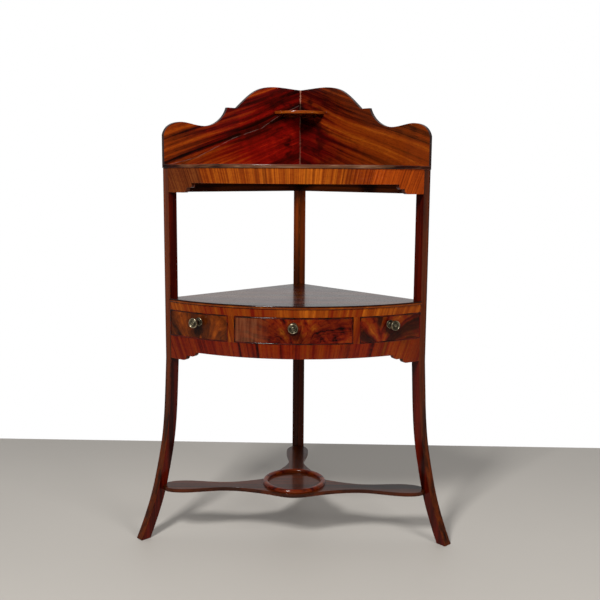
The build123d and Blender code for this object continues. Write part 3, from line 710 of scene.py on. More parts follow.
def make_materials():
    """Every finish on the stand, from the finish group's colours."""
    f = finish()
    deep, red, brown, amber = (tuple(colour) for colour in (f.deep, f.red, f.brown, f.amber))
    crimson = (red[0] * 0.85, red[1] * 0.4, red[2])

    def reddened(amount):
        return blend(deep, red, amount)

    def faded(amount):
        return blend(deep, brown, amount)

    def ruddy(amount):
        return blend(red, brown, amount)

    def golden(amount):
        return blend(brown, amber, amount)

    red_set = [scaled(deep, 0.7), blend(deep, crimson, 0.3), blend(deep, crimson, 0.8),
               scaled(crimson, 1.3), scaled(red, 2.0)]
    outer_set = [faded(0.2), faded(0.6), ruddy(0.8), scaled(brown, 1.2), golden(0.4)]
    brown_set = [deep, reddened(0.5), ruddy(0.35), ruddy(0.8), brown]
    dark_set = [deep, faded(0.2), faded(0.45), scaled(ruddy(0.8), 0.7), scaled(brown, 0.9)]
    # The shelf's browns, darkened as painted shade and reflection
    shelf_shaded_set = [tuple(a * b for a, b in zip(colour, SHELF_PAINTED_SHADE_TINT)) for colour in brown_set]
    banding_set = [faded(0.7), ruddy(0.8), golden(0.3), golden(0.6), scaled(amber, 0.9)]
    rail_set = [reddened(0.8), ruddy(0.6), brown, golden(0.3), golden(0.6)]
    low_set = [scaled(deep, 0.8), reddened(0.7), ruddy(0.3), ruddy(0.8), golden(0.3)]
    flame_set = [scaled(deep, 0.8), reddened(0.6), ruddy(0.3), ruddy(0.9), golden(0.4)]
    olive_set = [scaled(deep, 0.7), faded(0.35), scaled(brown, 0.6), scaled(brown, 0.85), golden(0.2)]
    bead_set = [scaled(deep, 0.4), scaled(deep, 0.7), deep, reddened(0.3), red]
    oak_set = tones(f.lining, 0.42, 0.62, 0.85, 1.0, 1.2)
    pine_set = tones(f.pine, 0.5, 0.75, 0.95, 1.1, 1.3)

    eighth, quarter = math.radians(45), math.radians(90)
    deep_wise = {"turn": (0, 0, quarter)}
    wall_wise = {"left": {"turn": (0, 0, -eighth)}, "right": {"turn": (0, 0, eighth)}}
    upright = {"turn": (0, quarter, 0), "coarse": 60.0, "wander": 0.004, "spread": 0.17}
    banded = {"attribute": "bow_place", "lean": bow().lean, "rough": 0.3}
    flamed = {"attribute": "bow_place", "gloss": f.gloss}
    low = {"coarse": 34.0, "wander": 0.012, "gloss": f.gloss * 0.7}
    raw = {"gloss": 0.0, "rough": 0.62, "fresh": 0.6, "worn": 0.0, "grime": 0.45}
    lining = {"coarse": 90.0, "wander": 0.004, **raw}
    pine = {"coarse": 70.0, "wander": 0.01, **raw}

    # The front legs carry painted shade on their inward faces
    wood("leg mahogany", dimmed(dark_set, 0.82), gloss=0.28, detail=sheltered, **upright)
    # The back leg carries painted shade under the case
    wood("back leg mahogany", outer_set, gloss=0.03, detail=foot_dirt, **upright)
    wood("bracket mahogany", dark_set, coarse=60.0, wander=0.004, gloss=0.2)
    # The top's front edge carries a painted highlight
    wood("top mahogany", brown_set, coarse=22.0, wander=0.03, figure=0.06, gloss=f.gloss, detail=faded_edge)
    # The shelf's edge carries a painted dark reflection along its top
    wood("shelf mahogany", shelf_shaded_set, coarse=18.0, wander=0.03, gloss=f.gloss, rough=0.28, worn=0.2,
         detail=lipped)
    # The splashback carries painted light and shade: board tints, corner blots and a dark rim
    wood("splashback mahogany", red_set, turn=(0, 0, eighth), tilt=-math.radians(18), mirror=True,
         coarse=60.0, along=0.6, wander=0.04, spread=0.16, streaks=0.6, streak=0.9, sparse=0.02,
         figure=0.12, figure_scale=8.0, gloss=f.gloss, worn=0.08, bare_edge=True, grime=0.0,
         outer=outer_set, detail=splash_wear)
    wood("corner shelf mahogany", outer_set, coarse=40.0, gloss=f.gloss, worn=1.0)
    wood("amber banding", banding_set, coarse=230.0, wander=0.003, leaf=0.093, spread=0.19, streaks=0.7,
         streak=0.6, sparse=0.03, figure=0.12, figure_scale=50.0, gloss=f.gloss, grime=0.1,
         detail=end_leaves, **banded)
    wood("rail banding", rail_set, coarse=60.0, wander=0.003, leaf=0.083, spread=0.17, streaks=0.5,
         sparse=0.06, gloss=f.gloss, grime=0.2, **banded)
    wood("red banding", low_set, coarse=75.0, wander=0.003, leaf=0.108, spread=0.22, streaks=0.4,
         streak=0.4, sparse=0.06, figure=0.08, figure_scale=40.0, gloss=f.gloss * 0.6, grime=0.2, **banded)
    wood("divider mahogany", dimmed(rail_set, 0.8), coarse=110.0, wander=0.004, spread=0.15, figure=0.1,
         figure_scale=40.0, gloss=f.gloss * 0.6, grime=0.5, **banded)
    # The drawer's front carries a painted sheen on its left third and painted shadow round the knob
    wood("flame veneer", flame_set, fan=(0.004, -0.052, 0.14, 0.5), coarse=34.0, wander=0.06, swirl=0.12,
         spread=0.17, streaks=2.0, streak=0.4, sparse=0.04, figure=0.28, figure_scale=18.0,
         detail=bleached, **flamed)
    # The dummy fronts carry painted shadow with dirt round their knobs
    wood("olive flame veneer", olive_set, fan=(-0.235, -0.06, 0.14, -0.6), wander=0.05, swirl=0.10,
         spread=0.17, streaks=1.6, sparse=0.03, figure=0.24, figure_scale=18.0, grime=0.6,
         detail=knob_dirt, **flamed)
    wood("dark flame veneer", flame_set, fan=(0.215, -0.06, 0.14, 0.6), wander=0.04, swirl=0.06,
         spread=0.19, streaks=1.0, streak=0.9, figure=0.16, figure_scale=34.0, grime=0.9,
         detail=knob_dirt, **flamed)
    wood("cock bead", bead_set, attribute="bow_place", coarse=90.0, gloss=0.6, worn=0.6)
    wood("stretcher mahogany", dimmed(dark_set, 0.6), **low)
    wood("back arm mahogany", dimmed(dark_set, 0.6), **deep_wise, **low)
    wood("ring mahogany", dimmed(brown_set, 0.75), coarse=50.0, wander=0.006, gloss=f.gloss, worn=0.6)
    wood("oak lining across", oak_set, **lining)
    wood("oak lining along", oak_set, **deep_wise, **lining)
    wood("pine across", pine_set, **pine)
    wood("pine front to back", pine_set, **deep_wise, **pine)
    for side in SIDES:
        wood("case side " + side, brown_set, coarse=30.0, gloss=0.4, rough=0.42, **wall_wise[side])
        # The back rails under the top are dimmed to 0.4 as painted shade
        wood("back rail " + side, dimmed(dark_set, 0.4), coarse=50.0, wander=0.01, gloss=0.1,
             **wall_wise[side])
    metal("aged brass", tuple(f.brass), scaled(f.brass, 0.3), 0.32)
    metal("old steel", tuple(f.steel), STEEL_RUST, 0.5, 160.0)


def finish_named(name):
    """One finish. The first call makes them all."""
    if not MATERIALS:
        make_materials()
    return MATERIALS[name]


# Shaping

def body_of_node(node):
    """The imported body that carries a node."""
    bodies = frame["record"]["behaviour"]["bodies"]
    return next(body for body, nodes in bodies.items() if node in nodes)


def slot_of_node(node):
    """The record's material slot of a node."""
    return next(row["material_slot"] for row in frame["record"]["subparts"] if row["node"] == node)


def link(name, data):
    """A new object at the origin with the given mesh, light or camera."""
    made = bpy.data.objects.new(name, data)
    bpy.context.scene.collection.objects.link(made)
    return made


def settle(piece, node, material):
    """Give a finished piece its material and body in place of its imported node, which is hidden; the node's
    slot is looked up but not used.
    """
    piece.data.materials.clear()
    piece.data.materials.append(finish_named(material))
    for face in piece.data.polygons:
        face.material_index = 0
    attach(piece, body_of_node(node))
    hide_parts(node)
    slot_of_node(node)


def opened(node):
    """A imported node's mesh with its doubled corners joined, open for work."""
    mesh = bmesh.new()
    mesh.from_mesh(frame["nodes"][node].data)
    bmesh.ops.remove_doubles(mesh, verts=mesh.verts, dist=JOIN_GAP)
    return mesh


def closed(mesh, node):
    """An object with the worked mesh."""
    data = bpy.data.meshes.new("dressed_" + node)
    mesh.to_mesh(data)
    mesh.free()
    return link("dressed_" + node, data)


def made_plain(piece):
    """Turn an object's live modifiers into a plain mesh."""
    graph = bpy.context.evaluated_depsgraph_get()
    mesh = bpy.data.meshes.new_from_object(piece.evaluated_get(graph), preserve_all_data_layers=True,
                                           depsgraph=graph)
    if not mesh.polygons:
        raise RuntimeError(piece.name + " has no faces")
    piece.modifiers.clear()
    piece.data = mesh


def eased(node, width):
    """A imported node's copy with its sharp edges rounded by width, and the rounded faces marked as arris."""
    mesh = opened(node)
    bmesh.ops.dissolve_limit(mesh, angle_limit=FLAT_TURN, verts=mesh.verts, edges=mesh.edges)
    for face in mesh.faces:
        face.smooth = True
    piece = closed(mesh, node)
    rounding = piece.modifiers.new("arris", "BEVEL")
    rounding.width = width
    rounding.segments = 2
    rounding.limit_method = "ANGLE"
    rounding.angle_limit = ARRIS_TURN
    rounding.use_clamp_overlap = True
    rounding.miter_outer = "MITER_ARC"
    rounding.material = 1
    for _ in range(2):
        piece.data.materials.append(None)
    shading = piece.modifiers.new("shading", "WEIGHTED_NORMAL")
    shading.weight = 60
    shading.keep_sharp = False
    made_plain(piece)
    faces = piece.data.polygons
    rounded = np.zeros(len(faces), np.int32)
    faces.foreach_get("material_index", rounded)
    arris = piece.data.attributes.new("arris", "FLOAT", "FACE")
    arris.data.foreach_set("value", rounded.astype(np.float32))
    return piece


def keep_bow_place(piece):
    """Store each point's way round the bow, its depth with a jump for each piece, and its height."""
    mesh = piece.data
    points = np.zeros(len(mesh.vertices) * 3, np.float32)
    mesh.vertices.foreach_get("co", points)
    across, forward, height = points.reshape(-1, 3).T
    out = bow().centre - forward
    middle = (height.min() + height.max()) / 2
    depth = np.hypot(across, out) - bow().radius + 7.0 * middle
    places = np.stack([np.arctan2(across, out) * bow().radius, depth, height - middle], 1)
    layer = mesh.attributes.new("bow_place", "FLOAT_VECTOR", "POINT")
    layer.data.foreach_set("vector", places.astype(np.float32).ravel())


def dress(*rows):
    """Ease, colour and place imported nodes. A row is (node, edge, material), where {} is for each side."""
    for name, edge, material in rows:
        for side in SIDES if "{}" in name else [""]:
            node = name.format(side)
            piece = eased(node, getattr(edges(), edge))
            keep_bow_place(piece)
            settle(piece, node, material.format(side))


def smooth_by_angle(piece, degrees):
    """Smooth faces with sharp edges kept."""
    for face in piece.data.polygons:
        face.use_smooth = True
    piece.data.set_sharp_from_angle(angle=math.radians(degrees))


def loose_solids(node):
    """The corners and the box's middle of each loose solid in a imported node."""
    mesh = opened(node)
    left = set(mesh.verts)
    solids = []
    while left:
        group = [left.pop()]
        for vert in group:
            for edge in vert.link_edges:
                other = edge.other_vert(vert)
                if other in left:
                    left.remove(other)
                    group.append(other)
        spots = [vert.co.copy() for vert in group]
        solids.append((spots, Vector([(min(axis) + max(axis)) / 2 for axis in zip(*spots)])))
    mesh.free()
    return solids


def out_of_bow(place):
    """The level way from the bow's centre through a place."""
    return Vector((place[0], place[1] - bow().centre, 0)).normalized()


# Geometry Nodes

class Tree(Nodes):
    """A Geometry Nodes tree with named inputs."""

    def __init__(self, name):
        super().__init__(bpy.data.node_groups.new(name, "GeometryNodeTree"))
        for way in ("INPUT", "OUTPUT"):
            self.tree.interface.new_socket(name="Geometry", in_out=way, socket_type="NodeSocketGeometry")
        self.values = {}
        self.entry = self.node("NodeGroupInput")
        self.exit = self.node("NodeGroupOutput")

    def size(self, name, value, kind="NodeSocketFloat"):
        """A named input with its value."""
        socket = self.tree.interface.new_socket(name=name, in_out="INPUT", socket_type=kind)
        self.values[socket.identifier] = value
        return self.out(self.entry, name)

    def solid(self, kind, settings=None, **sockets):
        """The first output of a geometry node."""
        return self.out(self.node("GeometryNode" + kind, settings, **sockets))

    def turn(self, kind, settings=None, **sockets):
        """The first output of a function node that works on a turn."""
        return self.out(self.node("FunctionNode" + kind, settings, **sockets))

    def facing(self):
        """The way that a point's piece faces."""
        return self.solid("InputNamedAttribute", {"data_type": "FLOAT_VECTOR"}, Name="facing")

    def spread(self, piece, rotation):
        """The piece set on each of the entry's points."""
        points = self.out(self.entry)
        return self.solid("InstanceOnPoints", Points=points, Instance=piece, Rotation=rotation)

    def run(self, piece, node, geometry, material, degrees=35):
        """End the tree, run it on an object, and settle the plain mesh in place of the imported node."""
        real = self.solid("RealizeInstances", Geometry=geometry)
        coloured = self.solid("SetMaterial", Geometry=real, Material=finish_named(material))
        self.feed(self.exit.inputs[0], coloured)
        modifier = piece.modifiers.new(self.tree.name, "NODES")
        modifier.node_group = self.tree
        for identifier, value in self.values.items():
            modifier[identifier] = value
        made_plain(piece)
        mesh = bmesh.new()
        mesh.from_mesh(piece.data)
        bmesh.ops.recalc_face_normals(mesh, faces=mesh.faces)
        mesh.to_mesh(piece.data)
        mesh.free()
        smooth_by_angle(piece, degrees)
        settle(piece, node, material)


def points_that_face(node, rows):
    """An object of bare points, each with the way that its piece faces. A row is (place, facing)."""
    points = bpy.data.meshes.new(node + "_places")
    points.from_pydata([place for place, facing in rows], [], [])
    layer = points.attributes.new("facing", "FLOAT_VECTOR", "POINT")
    for value, (place, facing) in zip(layer.data, rows):
        value.vector = facing
    return link("dressed_" + node, points)


# The pieces

class WASHSTAND_OT_legs(bpy.types.Operator):
    """Two sabre legs in front and the square back leg"""
    bl_idname = "washstand.legs"
    bl_label = "Legs"
    bl_options = {"REGISTER", "UNDO"}

    def execute(self, context):
        dress(("front_{}_leg", "leg_arris", "leg mahogany"), ("back_leg", "arris", "back leg mahogany"))
        return {"FINISHED"}


class WASHSTAND_OT_top(bpy.types.Operator):
    """Pierced top with the rails under it"""
    bl_idname = "washstand.top"
    bl_label = "Top"
    bl_options = {"REGISTER", "UNDO"}

    def execute(self, context):
        dress(("top_board", "arris", "top mahogany"),
              ("top_frieze_rail", "inside", "pine across"),
              ("top_back_rail_{}", "inside", "back rail {}"),
              ("top_bracket_{}", "inside", "bracket mahogany"))
        return {"FINISHED"}


class WASHSTAND_OT_friezes(bpy.types.Operator):
    """Cross-banded veneer on the three curved rails"""
    bl_idname = "washstand.friezes"
    bl_label = "Friezes"
    bl_options = {"REGISTER", "UNDO"}

    def execute(self, context):
        dress(("top_frieze_veneer", "veneer", "amber banding"),
              ("upper_rail_veneer", "veneer", "rail banding"),
              ("lower_frieze_veneer", "veneer", "red banding"),
              ("upper_front_rail", "inside", "pine across"),
              ("lower_front_rail", "inside", "pine across"),
              ("lower_bracket_{}", "inside", "bracket mahogany"),
              ("divider_{}", "inside", "divider mahogany"))
        return {"FINISHED"}


class WASHSTAND_OT_splashback(bpy.types.Operator):
    """Book-matched splashback boards with their screws"""
    bl_idname = "washstand.splashback"
    bl_label = "Splashback"
    bl_options = {"REGISTER", "UNDO"}

    # Slot of a screw, as shares of its head's radius, and how far a screw is turned either way
    slot_width = 0.22
    slot_depth = 0.3
    most_turn = 1.4

    def execute(self, context):
        dress(("splashback_{}", "arris", "splashback mahogany"))
        self.screws("splashback_screws")
        return {"FINISHED"}

    def screws(self, node):
        """Slotted screws through the back of the splashback, one on each point of a small mesh."""
        low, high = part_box(node)
        rows = []
        for spots, middle in loose_solids(node):
            outward = Vector((math.copysign(1, middle[0]), 1, 0)).normalized()
            place = middle + outward * (max(spot.dot(outward) for spot in spots) - middle.dot(outward))
            place[2] = (low[2] + high[2]) / 2
            rows.append((place, outward))
        rows.sort(key=lambda row: row[0][0])
        t = turning()
        tree = Tree("slotted screws")
        head = tree.size("Head radius", t.screw_head)
        shank = tree.size("Shank radius", t.screw_shank)
        whole = tree.size("Length", t.screw_length)
        slot_width = tree.size("Slot width", t.screw_head * self.slot_width)
        slot_depth = tree.size("Slot depth", t.screw_head * self.slot_depth)
        taper = head - shank
        tail = whole - taper
        cone = tree.solid("MeshCone", Vertices=32, Radius_Top=head, Radius_Bottom=shank, Depth=taper)
        cone = tree.solid("Transform", Geometry=cone, Translation=tree.joined(z=taper * -1.0))
        rod = tree.solid("MeshCylinder", Vertices=24, Radius=shank, Depth=tail)
        rod = tree.solid("Transform", Geometry=rod, Translation=tree.joined(z=(taper + tail * 0.5) * -1.0))
        cut = tree.solid("MeshCube", Size=tree.joined(head * 3.0, slot_width, slot_depth * 2.0))
        slotted = tree.solid("MeshBoolean", {"operation": "DIFFERENCE", "solver": "EXACT"}, Mesh_1=cone,
                             Mesh_2=cut)
        screw = tree.node("GeometryNodeJoinGeometry", Geometry=rod)
        tree.feed(screw.inputs[0], slotted)
        aim = tree.turn("AlignRotationToVector", {"axis": "Z"}, Vector=tree.facing())
        chance = tree.turn("RandomValue", {"data_type": "FLOAT_VECTOR"}, Seed=7,
                           Min=(0, 0, -self.most_turn), Max=(0, 0, self.most_turn))
        twist = tree.turn("EulerToRotation", Euler=chance)
        rotation = tree.turn("RotateRotation", {"rotation_space": "LOCAL"}, Rotation=aim, Rotate_By=twist)
        tree.run(points_that_face(node, rows), node, tree.spread(tree.out(screw), rotation), "old steel")


class WASHSTAND_OT_corner_shelf(bpy.types.Operator):
    """Quarter shelf in the corner, on two battens"""
    bl_idname = "washstand.corner_shelf"
    bl_label = "Corner shelf"
    bl_options = {"REGISTER", "UNDO"}

    def execute(self, context):
        dress(("corner_shelf", "arris", "corner shelf mahogany"),
              ("corner_shelf_battens", "inside", "bracket mahogany"))
        return {"FINISHED"}


class WASHSTAND_OT_case(bpy.types.Operator):
    """Shelf, case sides and bottom, with what guides the drawer"""
    bl_idname = "washstand.case"
    bl_label = "Case"
    bl_options = {"REGISTER", "UNDO"}

    def execute(self, context):
        dress(("shelf_board", "arris", "shelf mahogany"),
              ("case_bottom", "inside", "pine across"),
              ("bottom_cleats", "inside", "pine across"),
              ("drawer_stops", "inside", "pine across"),
              ("case_side_{}", "inside", "case side {}"),
              ("drawer_guide_{}", "inside", "pine front to back"),
              ("drawer_kicker_{}", "inside", "pine front to back"))
        return {"FINISHED"}


class WASHSTAND_OT_glue_blocks(bpy.types.Operator):
    """Rubbed glue blocks behind the curved rails"""
    bl_idname = "washstand.glue_blocks"
    bl_label = "Glue blocks"
    bl_options = {"REGISTER", "UNDO"}

    # Share of a block's side left by its uneven faces, and the fineness and depth of their unevenness
    room = 0.86
    waves = 160.0
    unevenness = 0.0012

    def execute(self, context):
        for node in ("top_glue_blocks", "case_glue_blocks"):
            self.blocks(node)
        return {"FINISHED"}

    def blocks(self, node):
        """One uneven block at each of a node's loose solids, turned to face the bow."""
        centres = [middle for spots, middle in loose_solids(node)]
        centres.sort(key=lambda place: (round(place[2], 3), place[0]))
        tree = Tree("glue blocks")
        side = tree.size("Side", turning().block_side * self.room)
        run = tree.size("Length", turning().block_length)
        block = tree.solid("MeshCube", Size=tree.joined(run, side, side), Vertices_X=4, Vertices_Y=3,
                           Vertices_Z=3)
        uneven = tree.node("ShaderNodeTexNoise", Scale=tree.size("Roughness scale", self.waves))
        offset = tree.vector("SUBTRACT", tree.out(uneven, "Color"), (0.5, 0.5, 0.5))
        offset = tree.vector("SCALE", offset, None, None, tree.size("Unevenness", self.unevenness))
        block = tree.solid("SetPosition", Geometry=block, Offset=offset)
        aim = tree.turn("AlignRotationToVector", {"axis": "Y", "pivot_axis": "Z"}, Vector=tree.facing())
        points = points_that_face(node, [(centre, out_of_bow(centre)) for centre in centres])
        tree.run(points, node, tree.spread(block, aim), "pine across")


class WASHSTAND_OT_dummy_fronts(bpy.types.Operator):
    """False drawer fronts with their cock beads"""
    bl_idname = "washstand.dummy_fronts"
    bl_label = "Dummy fronts"
    bl_options = {"REGISTER", "UNDO"}

    def execute(self, context):
        dress(("dummy_front_{}", "inside", "pine across"),
              ("dummy_veneer_left", "veneer", "olive flame veneer"),
              ("dummy_veneer_right", "veneer", "dark flame veneer"),
              ("dummy_bead_{}", "bead", "cock bead"))
        return {"FINISHED"}


class WASHSTAND_OT_drawer(bpy.types.Operator):
    """Dovetailed drawer with a veneered bow front"""
    bl_idname = "washstand.drawer"
    bl_label = "Drawer"
    bl_options = {"REGISTER", "UNDO"}

    def execute(self, context):
        dress(("drawer_front", "inside", "pine across"),
              ("drawer_front_veneer", "veneer", "flame veneer"),
              ("drawer_bead", "bead", "cock bead"),
              ("drawer_back", "inside", "oak lining across"),
              ("drawer_bottom", "inside", "oak lining across"),
              ("drawer_side_{}", "inside", "oak lining along"))
        return {"FINISHED"}


class WASHSTAND_OT_knobs(bpy.types.Operator):
    """Turned brass knobs, each with a plate and a square nut"""
    bl_idname = "washstand.knobs"
    bl_label = "Knobs"
    bl_options = {"REGISTER", "UNDO"}

    # Half-section of the plate, as (radius, distance out of the front, tarnish and painted shade)
    plate = [(0.0022, 0.0, 1), (0.0100, 0.0, 1), (0.0100, 0.0005, 0.3), (0.0096, 0.0009, 0),
             (0.0088, 0.0011, 0.6), (0.0080, 0.0008, 1), (0.0076, 0.0008, 1), (0.0070, 0.0012, 0.8),
             (0.0022, 0.0012, 1)]
    # Half-section of the knob's post, from its buried end, dark with tarnish and painted shade
    post = [(0.0, -0.025, 1), (0.0019, -0.025, 1), (0.0022, -0.0246, 1), (0.0022, 0.0012, 1),
            (0.0065, 0.0012, 1), (0.0066, 0.0018, 0.7), (0.0060, 0.0026, 0.8), (0.0048, 0.0036, 1),
            (0.0043, 0.0048, 1), (0.0042, 0.0070, 1), (0.0043, 0.0110, 1), (0.0048, 0.0140, 1),
            (0.0056, 0.0158, 1)]
    # Back of the knob's head, as (share of the radius, distance out of the head's back, tarnish and painted
    # shade)
    head_back = [(0.66, 0.0006, 0.9), (0.84, 0.0016, 0.8), (0.95, 0.0030, 0.6), (1.0, 0.0048, 0.4),
                 (0.995, 0.0062, 0.2), (0.965, 0.0076, 0)]
    # Face of the knob's head, as (share of the radius, depth under the face, tarnish)
    head_face = [(0.92, 0.0006, 0), (0.87, 0.0001, 0), (0.82, 0.0001, 0), (0.77, 0.0006, 0.3),
                 (0.73, 0.0013, 1), (0.69, 0.0013, 1), (0.65, 0.0007, 0.8), (0.60, 0.0004, 0.6),
                 (0.54, 0.0005, 0.7), (0.49, 0.0011, 0.9), (0.44, 0.0014, 1), (0.38, 0.0012, 1),
                 (0.33, 0.0006, 0.7), (0.26, 0.0001, 0.1), (0.12, 0.0, 0), (0.0, 0.0, 0)]
    # Painted shade: extra darkening for the drawer knob's plate, which sits behind the head
    drawer_plate_tarnish = 0.6
    crease = 50

    def execute(self, context):
        t = turning()
        face, rim = t.knob_stand, t.knob_radius
        back = face - t.knob_head
        knob = self.post + [(rim * part, back + out, tarnish) for part, out, tarnish in self.head_back]
        knob += [(rim * part, face - depth, tarnish) for part, depth, tarnish in self.head_face]
        for name in ("left_knob", "drawer_knob", "right_knob"):
            more = self.drawer_plate_tarnish if name == "drawer_knob" else 0.0
            plate = [(radius, out, min(1.0, tarnish + more)) for radius, out, tarnish in self.plate]
            dress((name + "_nut", "inside", "old steel"))
            self.turn_piece(name + "_plate", name + "_plate", plate)
            self.turn_piece(name, name + "_plate", knob)
        return {"FINISHED"}

    def turn_piece(self, node, plate, profile):
        """Spin a half-section about the plate's axis, which points out of the bow."""
        low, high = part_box(plate)
        middle = (low + high) / 2
        out = out_of_bow(middle)
        up = Vector((0, 0, 1))
        place = Matrix((up.cross(out), up, out)).transposed().to_4x4()
        place.translation = Vector((0, bow().centre, middle[2])) + out * bow().radius
        count = turning().turned_steps
        mesh = bmesh.new()
        layer = mesh.verts.layers.float.new("tarnish")
        rows = []
        for radius, height, tarnish in profile:
            turns = [math.tau * step / count for step in range(count)] if radius else [0.0]
            row = [mesh.verts.new((radius * math.cos(turn), radius * math.sin(turn), height))
                   for turn in turns]
            for vert in row:
                vert[layer] = tarnish
            rows.append(row)
        pairs = list(zip(rows, rows[1:]))
        if profile[0][0]:
            pairs.append((rows[-1], rows[0]))
        for first, second in pairs:
            for step in range(count):
                after = (step + 1) % count
                corners = []
                for row, number in ((first, step), (first, after), (second, after), (second, step)):
                    vert = row[number] if len(row) > 1 else row[0]
                    if vert not in corners:
                        corners.append(vert)
                if len(corners) > 2:
                    mesh.faces.new(corners)
        bmesh.ops.recalc_face_normals(mesh, faces=mesh.faces)
        mesh.transform(place)
        piece = closed(mesh, node)
        smooth_by_angle(piece, self.crease)
        settle(piece, node, "aged brass")


class WASHSTAND_OT_stretcher(bpy.types.Operator):
    """Three-armed stretcher with its turned jug ring"""
    bl_idname = "washstand.stretcher"
    bl_label = "Stretcher"
    bl_options = {"REGISTER", "UNDO"}

    # Section of the ring, as shares of its width and height
    section = [(0.0, 0.0), (1.0, 0.0), (1.0, 0.34), (0.97, 0.48), (0.93, 0.55), (0.95, 0.66), (0.90, 0.82),
               (0.80, 0.94), (0.66, 0.995), (0.48, 1.0), (0.30, 0.96), (0.14, 0.86), (0.04, 0.72),
               (0.0, 0.58)]
    crease = 40

    def execute(self, context):
        dress(("stretcher_board", "board_round", "stretcher mahogany"),
              ("stretcher_back_arm", "board_round", "back arm mahogany"))
        self.ring("jug_ring")
        return {"FINISHED"}

    def ring(self, node):
        """The jug ring: a moulded section carried round a circle."""
        t = turning()
        low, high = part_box(node)
        centre = (low + high) / 2
        wide, tall = t.ring_width, t.ring_height
        count = len(self.section)
        mesh = bpy.data.meshes.new("jug_ring_section")
        mesh.from_pydata([(wide * x - wide / 2, -tall * y, 0) for x, y in self.section],
                         [(number, (number + 1) % count) for number in range(count)], [])
        tree = Tree("turned ring")
        radius = tree.size("Middle radius", t.ring_radius - wide / 2)
        steps = tree.size("Steps", t.turned_steps * 2, "NodeSocketInt")
        path = tree.solid("CurvePrimitiveCircle", Resolution=steps, Radius=radius)
        profile = tree.solid("MeshToCurve", Mesh=tree.out(tree.entry))
        swept = tree.solid("CurveToMesh", Curve=path, Profile_Curve=profile)
        lifted = tree.solid("Transform", Geometry=swept, Translation=(centre[0], centre[1], low[2]))
        tree.run(link("dressed_" + node, mesh), node, lifted, "ring mahogany", self.crease)


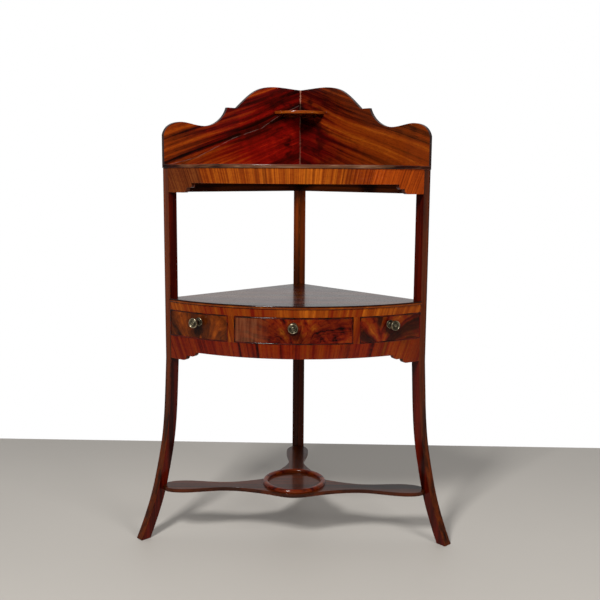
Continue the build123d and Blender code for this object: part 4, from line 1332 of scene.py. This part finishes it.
class WASHSTAND_OT_stage(bpy.types.Operator):
    """Pale floor, soft light and the camera"""
    bl_idname = "washstand.stage"
    bl_label = "Stage"
    bl_options = {"REGISTER", "UNDO"}

    def execute(self, context):
        self.floor()
        self.lights()
        self.camera(context.scene)
        return {"FINISHED"}

    def floor(self):
        s = studio()
        mesh = bpy.data.meshes.new("studio_floor")
        side, front, back = s.floor_side, s.floor_front, s.floor_back
        corners = [(-side, -front, 0), (side, -front, 0), (side, back, 0), (-side, back, 0)]
        mesh.from_pydata(corners, [], [(0, 1, 2, 3)])
        floor = link("studio_floor", mesh)
        shade = Shade("pale floor")
        cloud = shade.noise(shade.place(), 2.0)
        shade.set(Base_Color=shade.mix(cloud, scaled(s.floor, 0.97), scaled(s.floor, 1.03)), Roughness=0.55)
        mesh.materials.append(shade.material)

    def lights(self):
        """A pale wall behind the stand, a dark room in front of it, and two soft lights."""
        s = studio()
        world = bpy.data.worlds.new("studio")
        bpy.context.scene.world = world
        world.use_nodes = True
        room = Nodes(world.node_tree)
        back = room.parts(room.out(room.node("ShaderNodeTexCoord"), "Generated"))[1]
        wall = room.node("ShaderNodeMapRange", {"interpolation_type": "SMOOTHSTEP"}, Value=back,
                         From_Min=-0.05, From_Max=0.35, To_Min=s.room_dark, To_Max=s.room_pale)
        strength = room.node("ShaderNodeMix")
        seen = room.out(room.node("ShaderNodeLightPath"), "Is Camera Ray")
        for number, value in ((0, seen), (2, room.out(wall)), (3, 1.0)):
            room.feed(strength.inputs[number], value)
        background = world.node_tree.nodes["Background"]
        room.feed(background.inputs["Strength"], room.out(strength))
        room.feed(background.inputs["Color"], tuple(s.wall))
        self.area("key", place=(-0.9, -2.0, 2.5), target=(0, 0, 0.75), size=(0.5, 0.6), watts=s.key_power)
        fill = self.area("fill", place=(1.7, -1.8, 1.6), target=(0, 0, 0.7), size=(1.0, 1.4),
                         watts=s.fill_power)
        fill.visible_glossy = False

    def area(self, name, place, target, size, watts):
        light = bpy.data.lights.new(name, "AREA")
        light.shape = "RECTANGLE"
        light.size, light.size_y = size
        light.energy = watts
        lamp = link(name, light)
        lamp.location = place
        lamp.rotation_euler = (Vector(target) - Vector(place)).to_track_quat("-Z", "Y").to_euler()
        return lamp

    def camera(self, scene):
        s = studio()
        data = bpy.data.cameras.new("camera")
        data.lens = s.lens
        data.sensor_width = 36.0
        data.clip_end = 50.0
        forward = Vector((-math.sin(s.yaw) * math.cos(s.pitch), math.cos(s.yaw) * math.cos(s.pitch),
                          -math.sin(s.pitch)))
        right = Vector((math.cos(s.yaw), math.sin(s.yaw), 0))
        up = right.cross(forward)
        turned_right = right * math.cos(s.roll) + up * math.sin(s.roll)
        turned_up = up * math.cos(s.roll) - right * math.sin(s.roll)
        matrix = Matrix((turned_right, turned_up, -forward)).transposed().to_4x4()
        matrix.translation = Vector(s.eye)
        camera = link("camera", data)
        camera.matrix_world = matrix
        scene.camera = camera
        scene.view_settings.view_transform = "Standard"


class WASHSTAND_PT_panel(bpy.types.Panel):
    """Lists the washstand's pieces and sizes."""
    bl_label = "Corner washstand"
    bl_space_type = "VIEW_3D"
    bl_region_type = "UI"
    bl_category = "Washstand"

    def draw(self, context):
        for operator in OPERATORS:
            self.layout.operator(operator.bl_idname)
        for name, group in GROUPS.items():
            box = self.layout.box()
            for prop in group.__annotations__:
                box.prop(getattr(context.scene, name), prop)


OPERATORS = (
    WASHSTAND_OT_legs, WASHSTAND_OT_top, WASHSTAND_OT_friezes, WASHSTAND_OT_splashback,
    WASHSTAND_OT_corner_shelf, WASHSTAND_OT_case, WASHSTAND_OT_glue_blocks, WASHSTAND_OT_dummy_fronts,
    WASHSTAND_OT_drawer, WASHSTAND_OT_knobs, WASHSTAND_OT_stretcher, WASHSTAND_OT_stage,
)
CLASSES = (*GROUPS.values(), *OPERATORS, WASHSTAND_PT_panel)


def register():
    for kind in CLASSES:
        bpy.utils.register_class(kind)
    for name, group in GROUPS.items():
        setattr(bpy.types.Scene, name, PointerProperty(type=group))


def unregister():
    for name in GROUPS:
        delattr(bpy.types.Scene, name)
    for kind in reversed(CLASSES):
        bpy.utils.unregister_class(kind)


def main():
    register()
    for operator in OPERATORS:
        getattr(bpy.ops.washstand, operator.bl_idname.split(".")[1])()


if __name__ == "__main__":
    main()
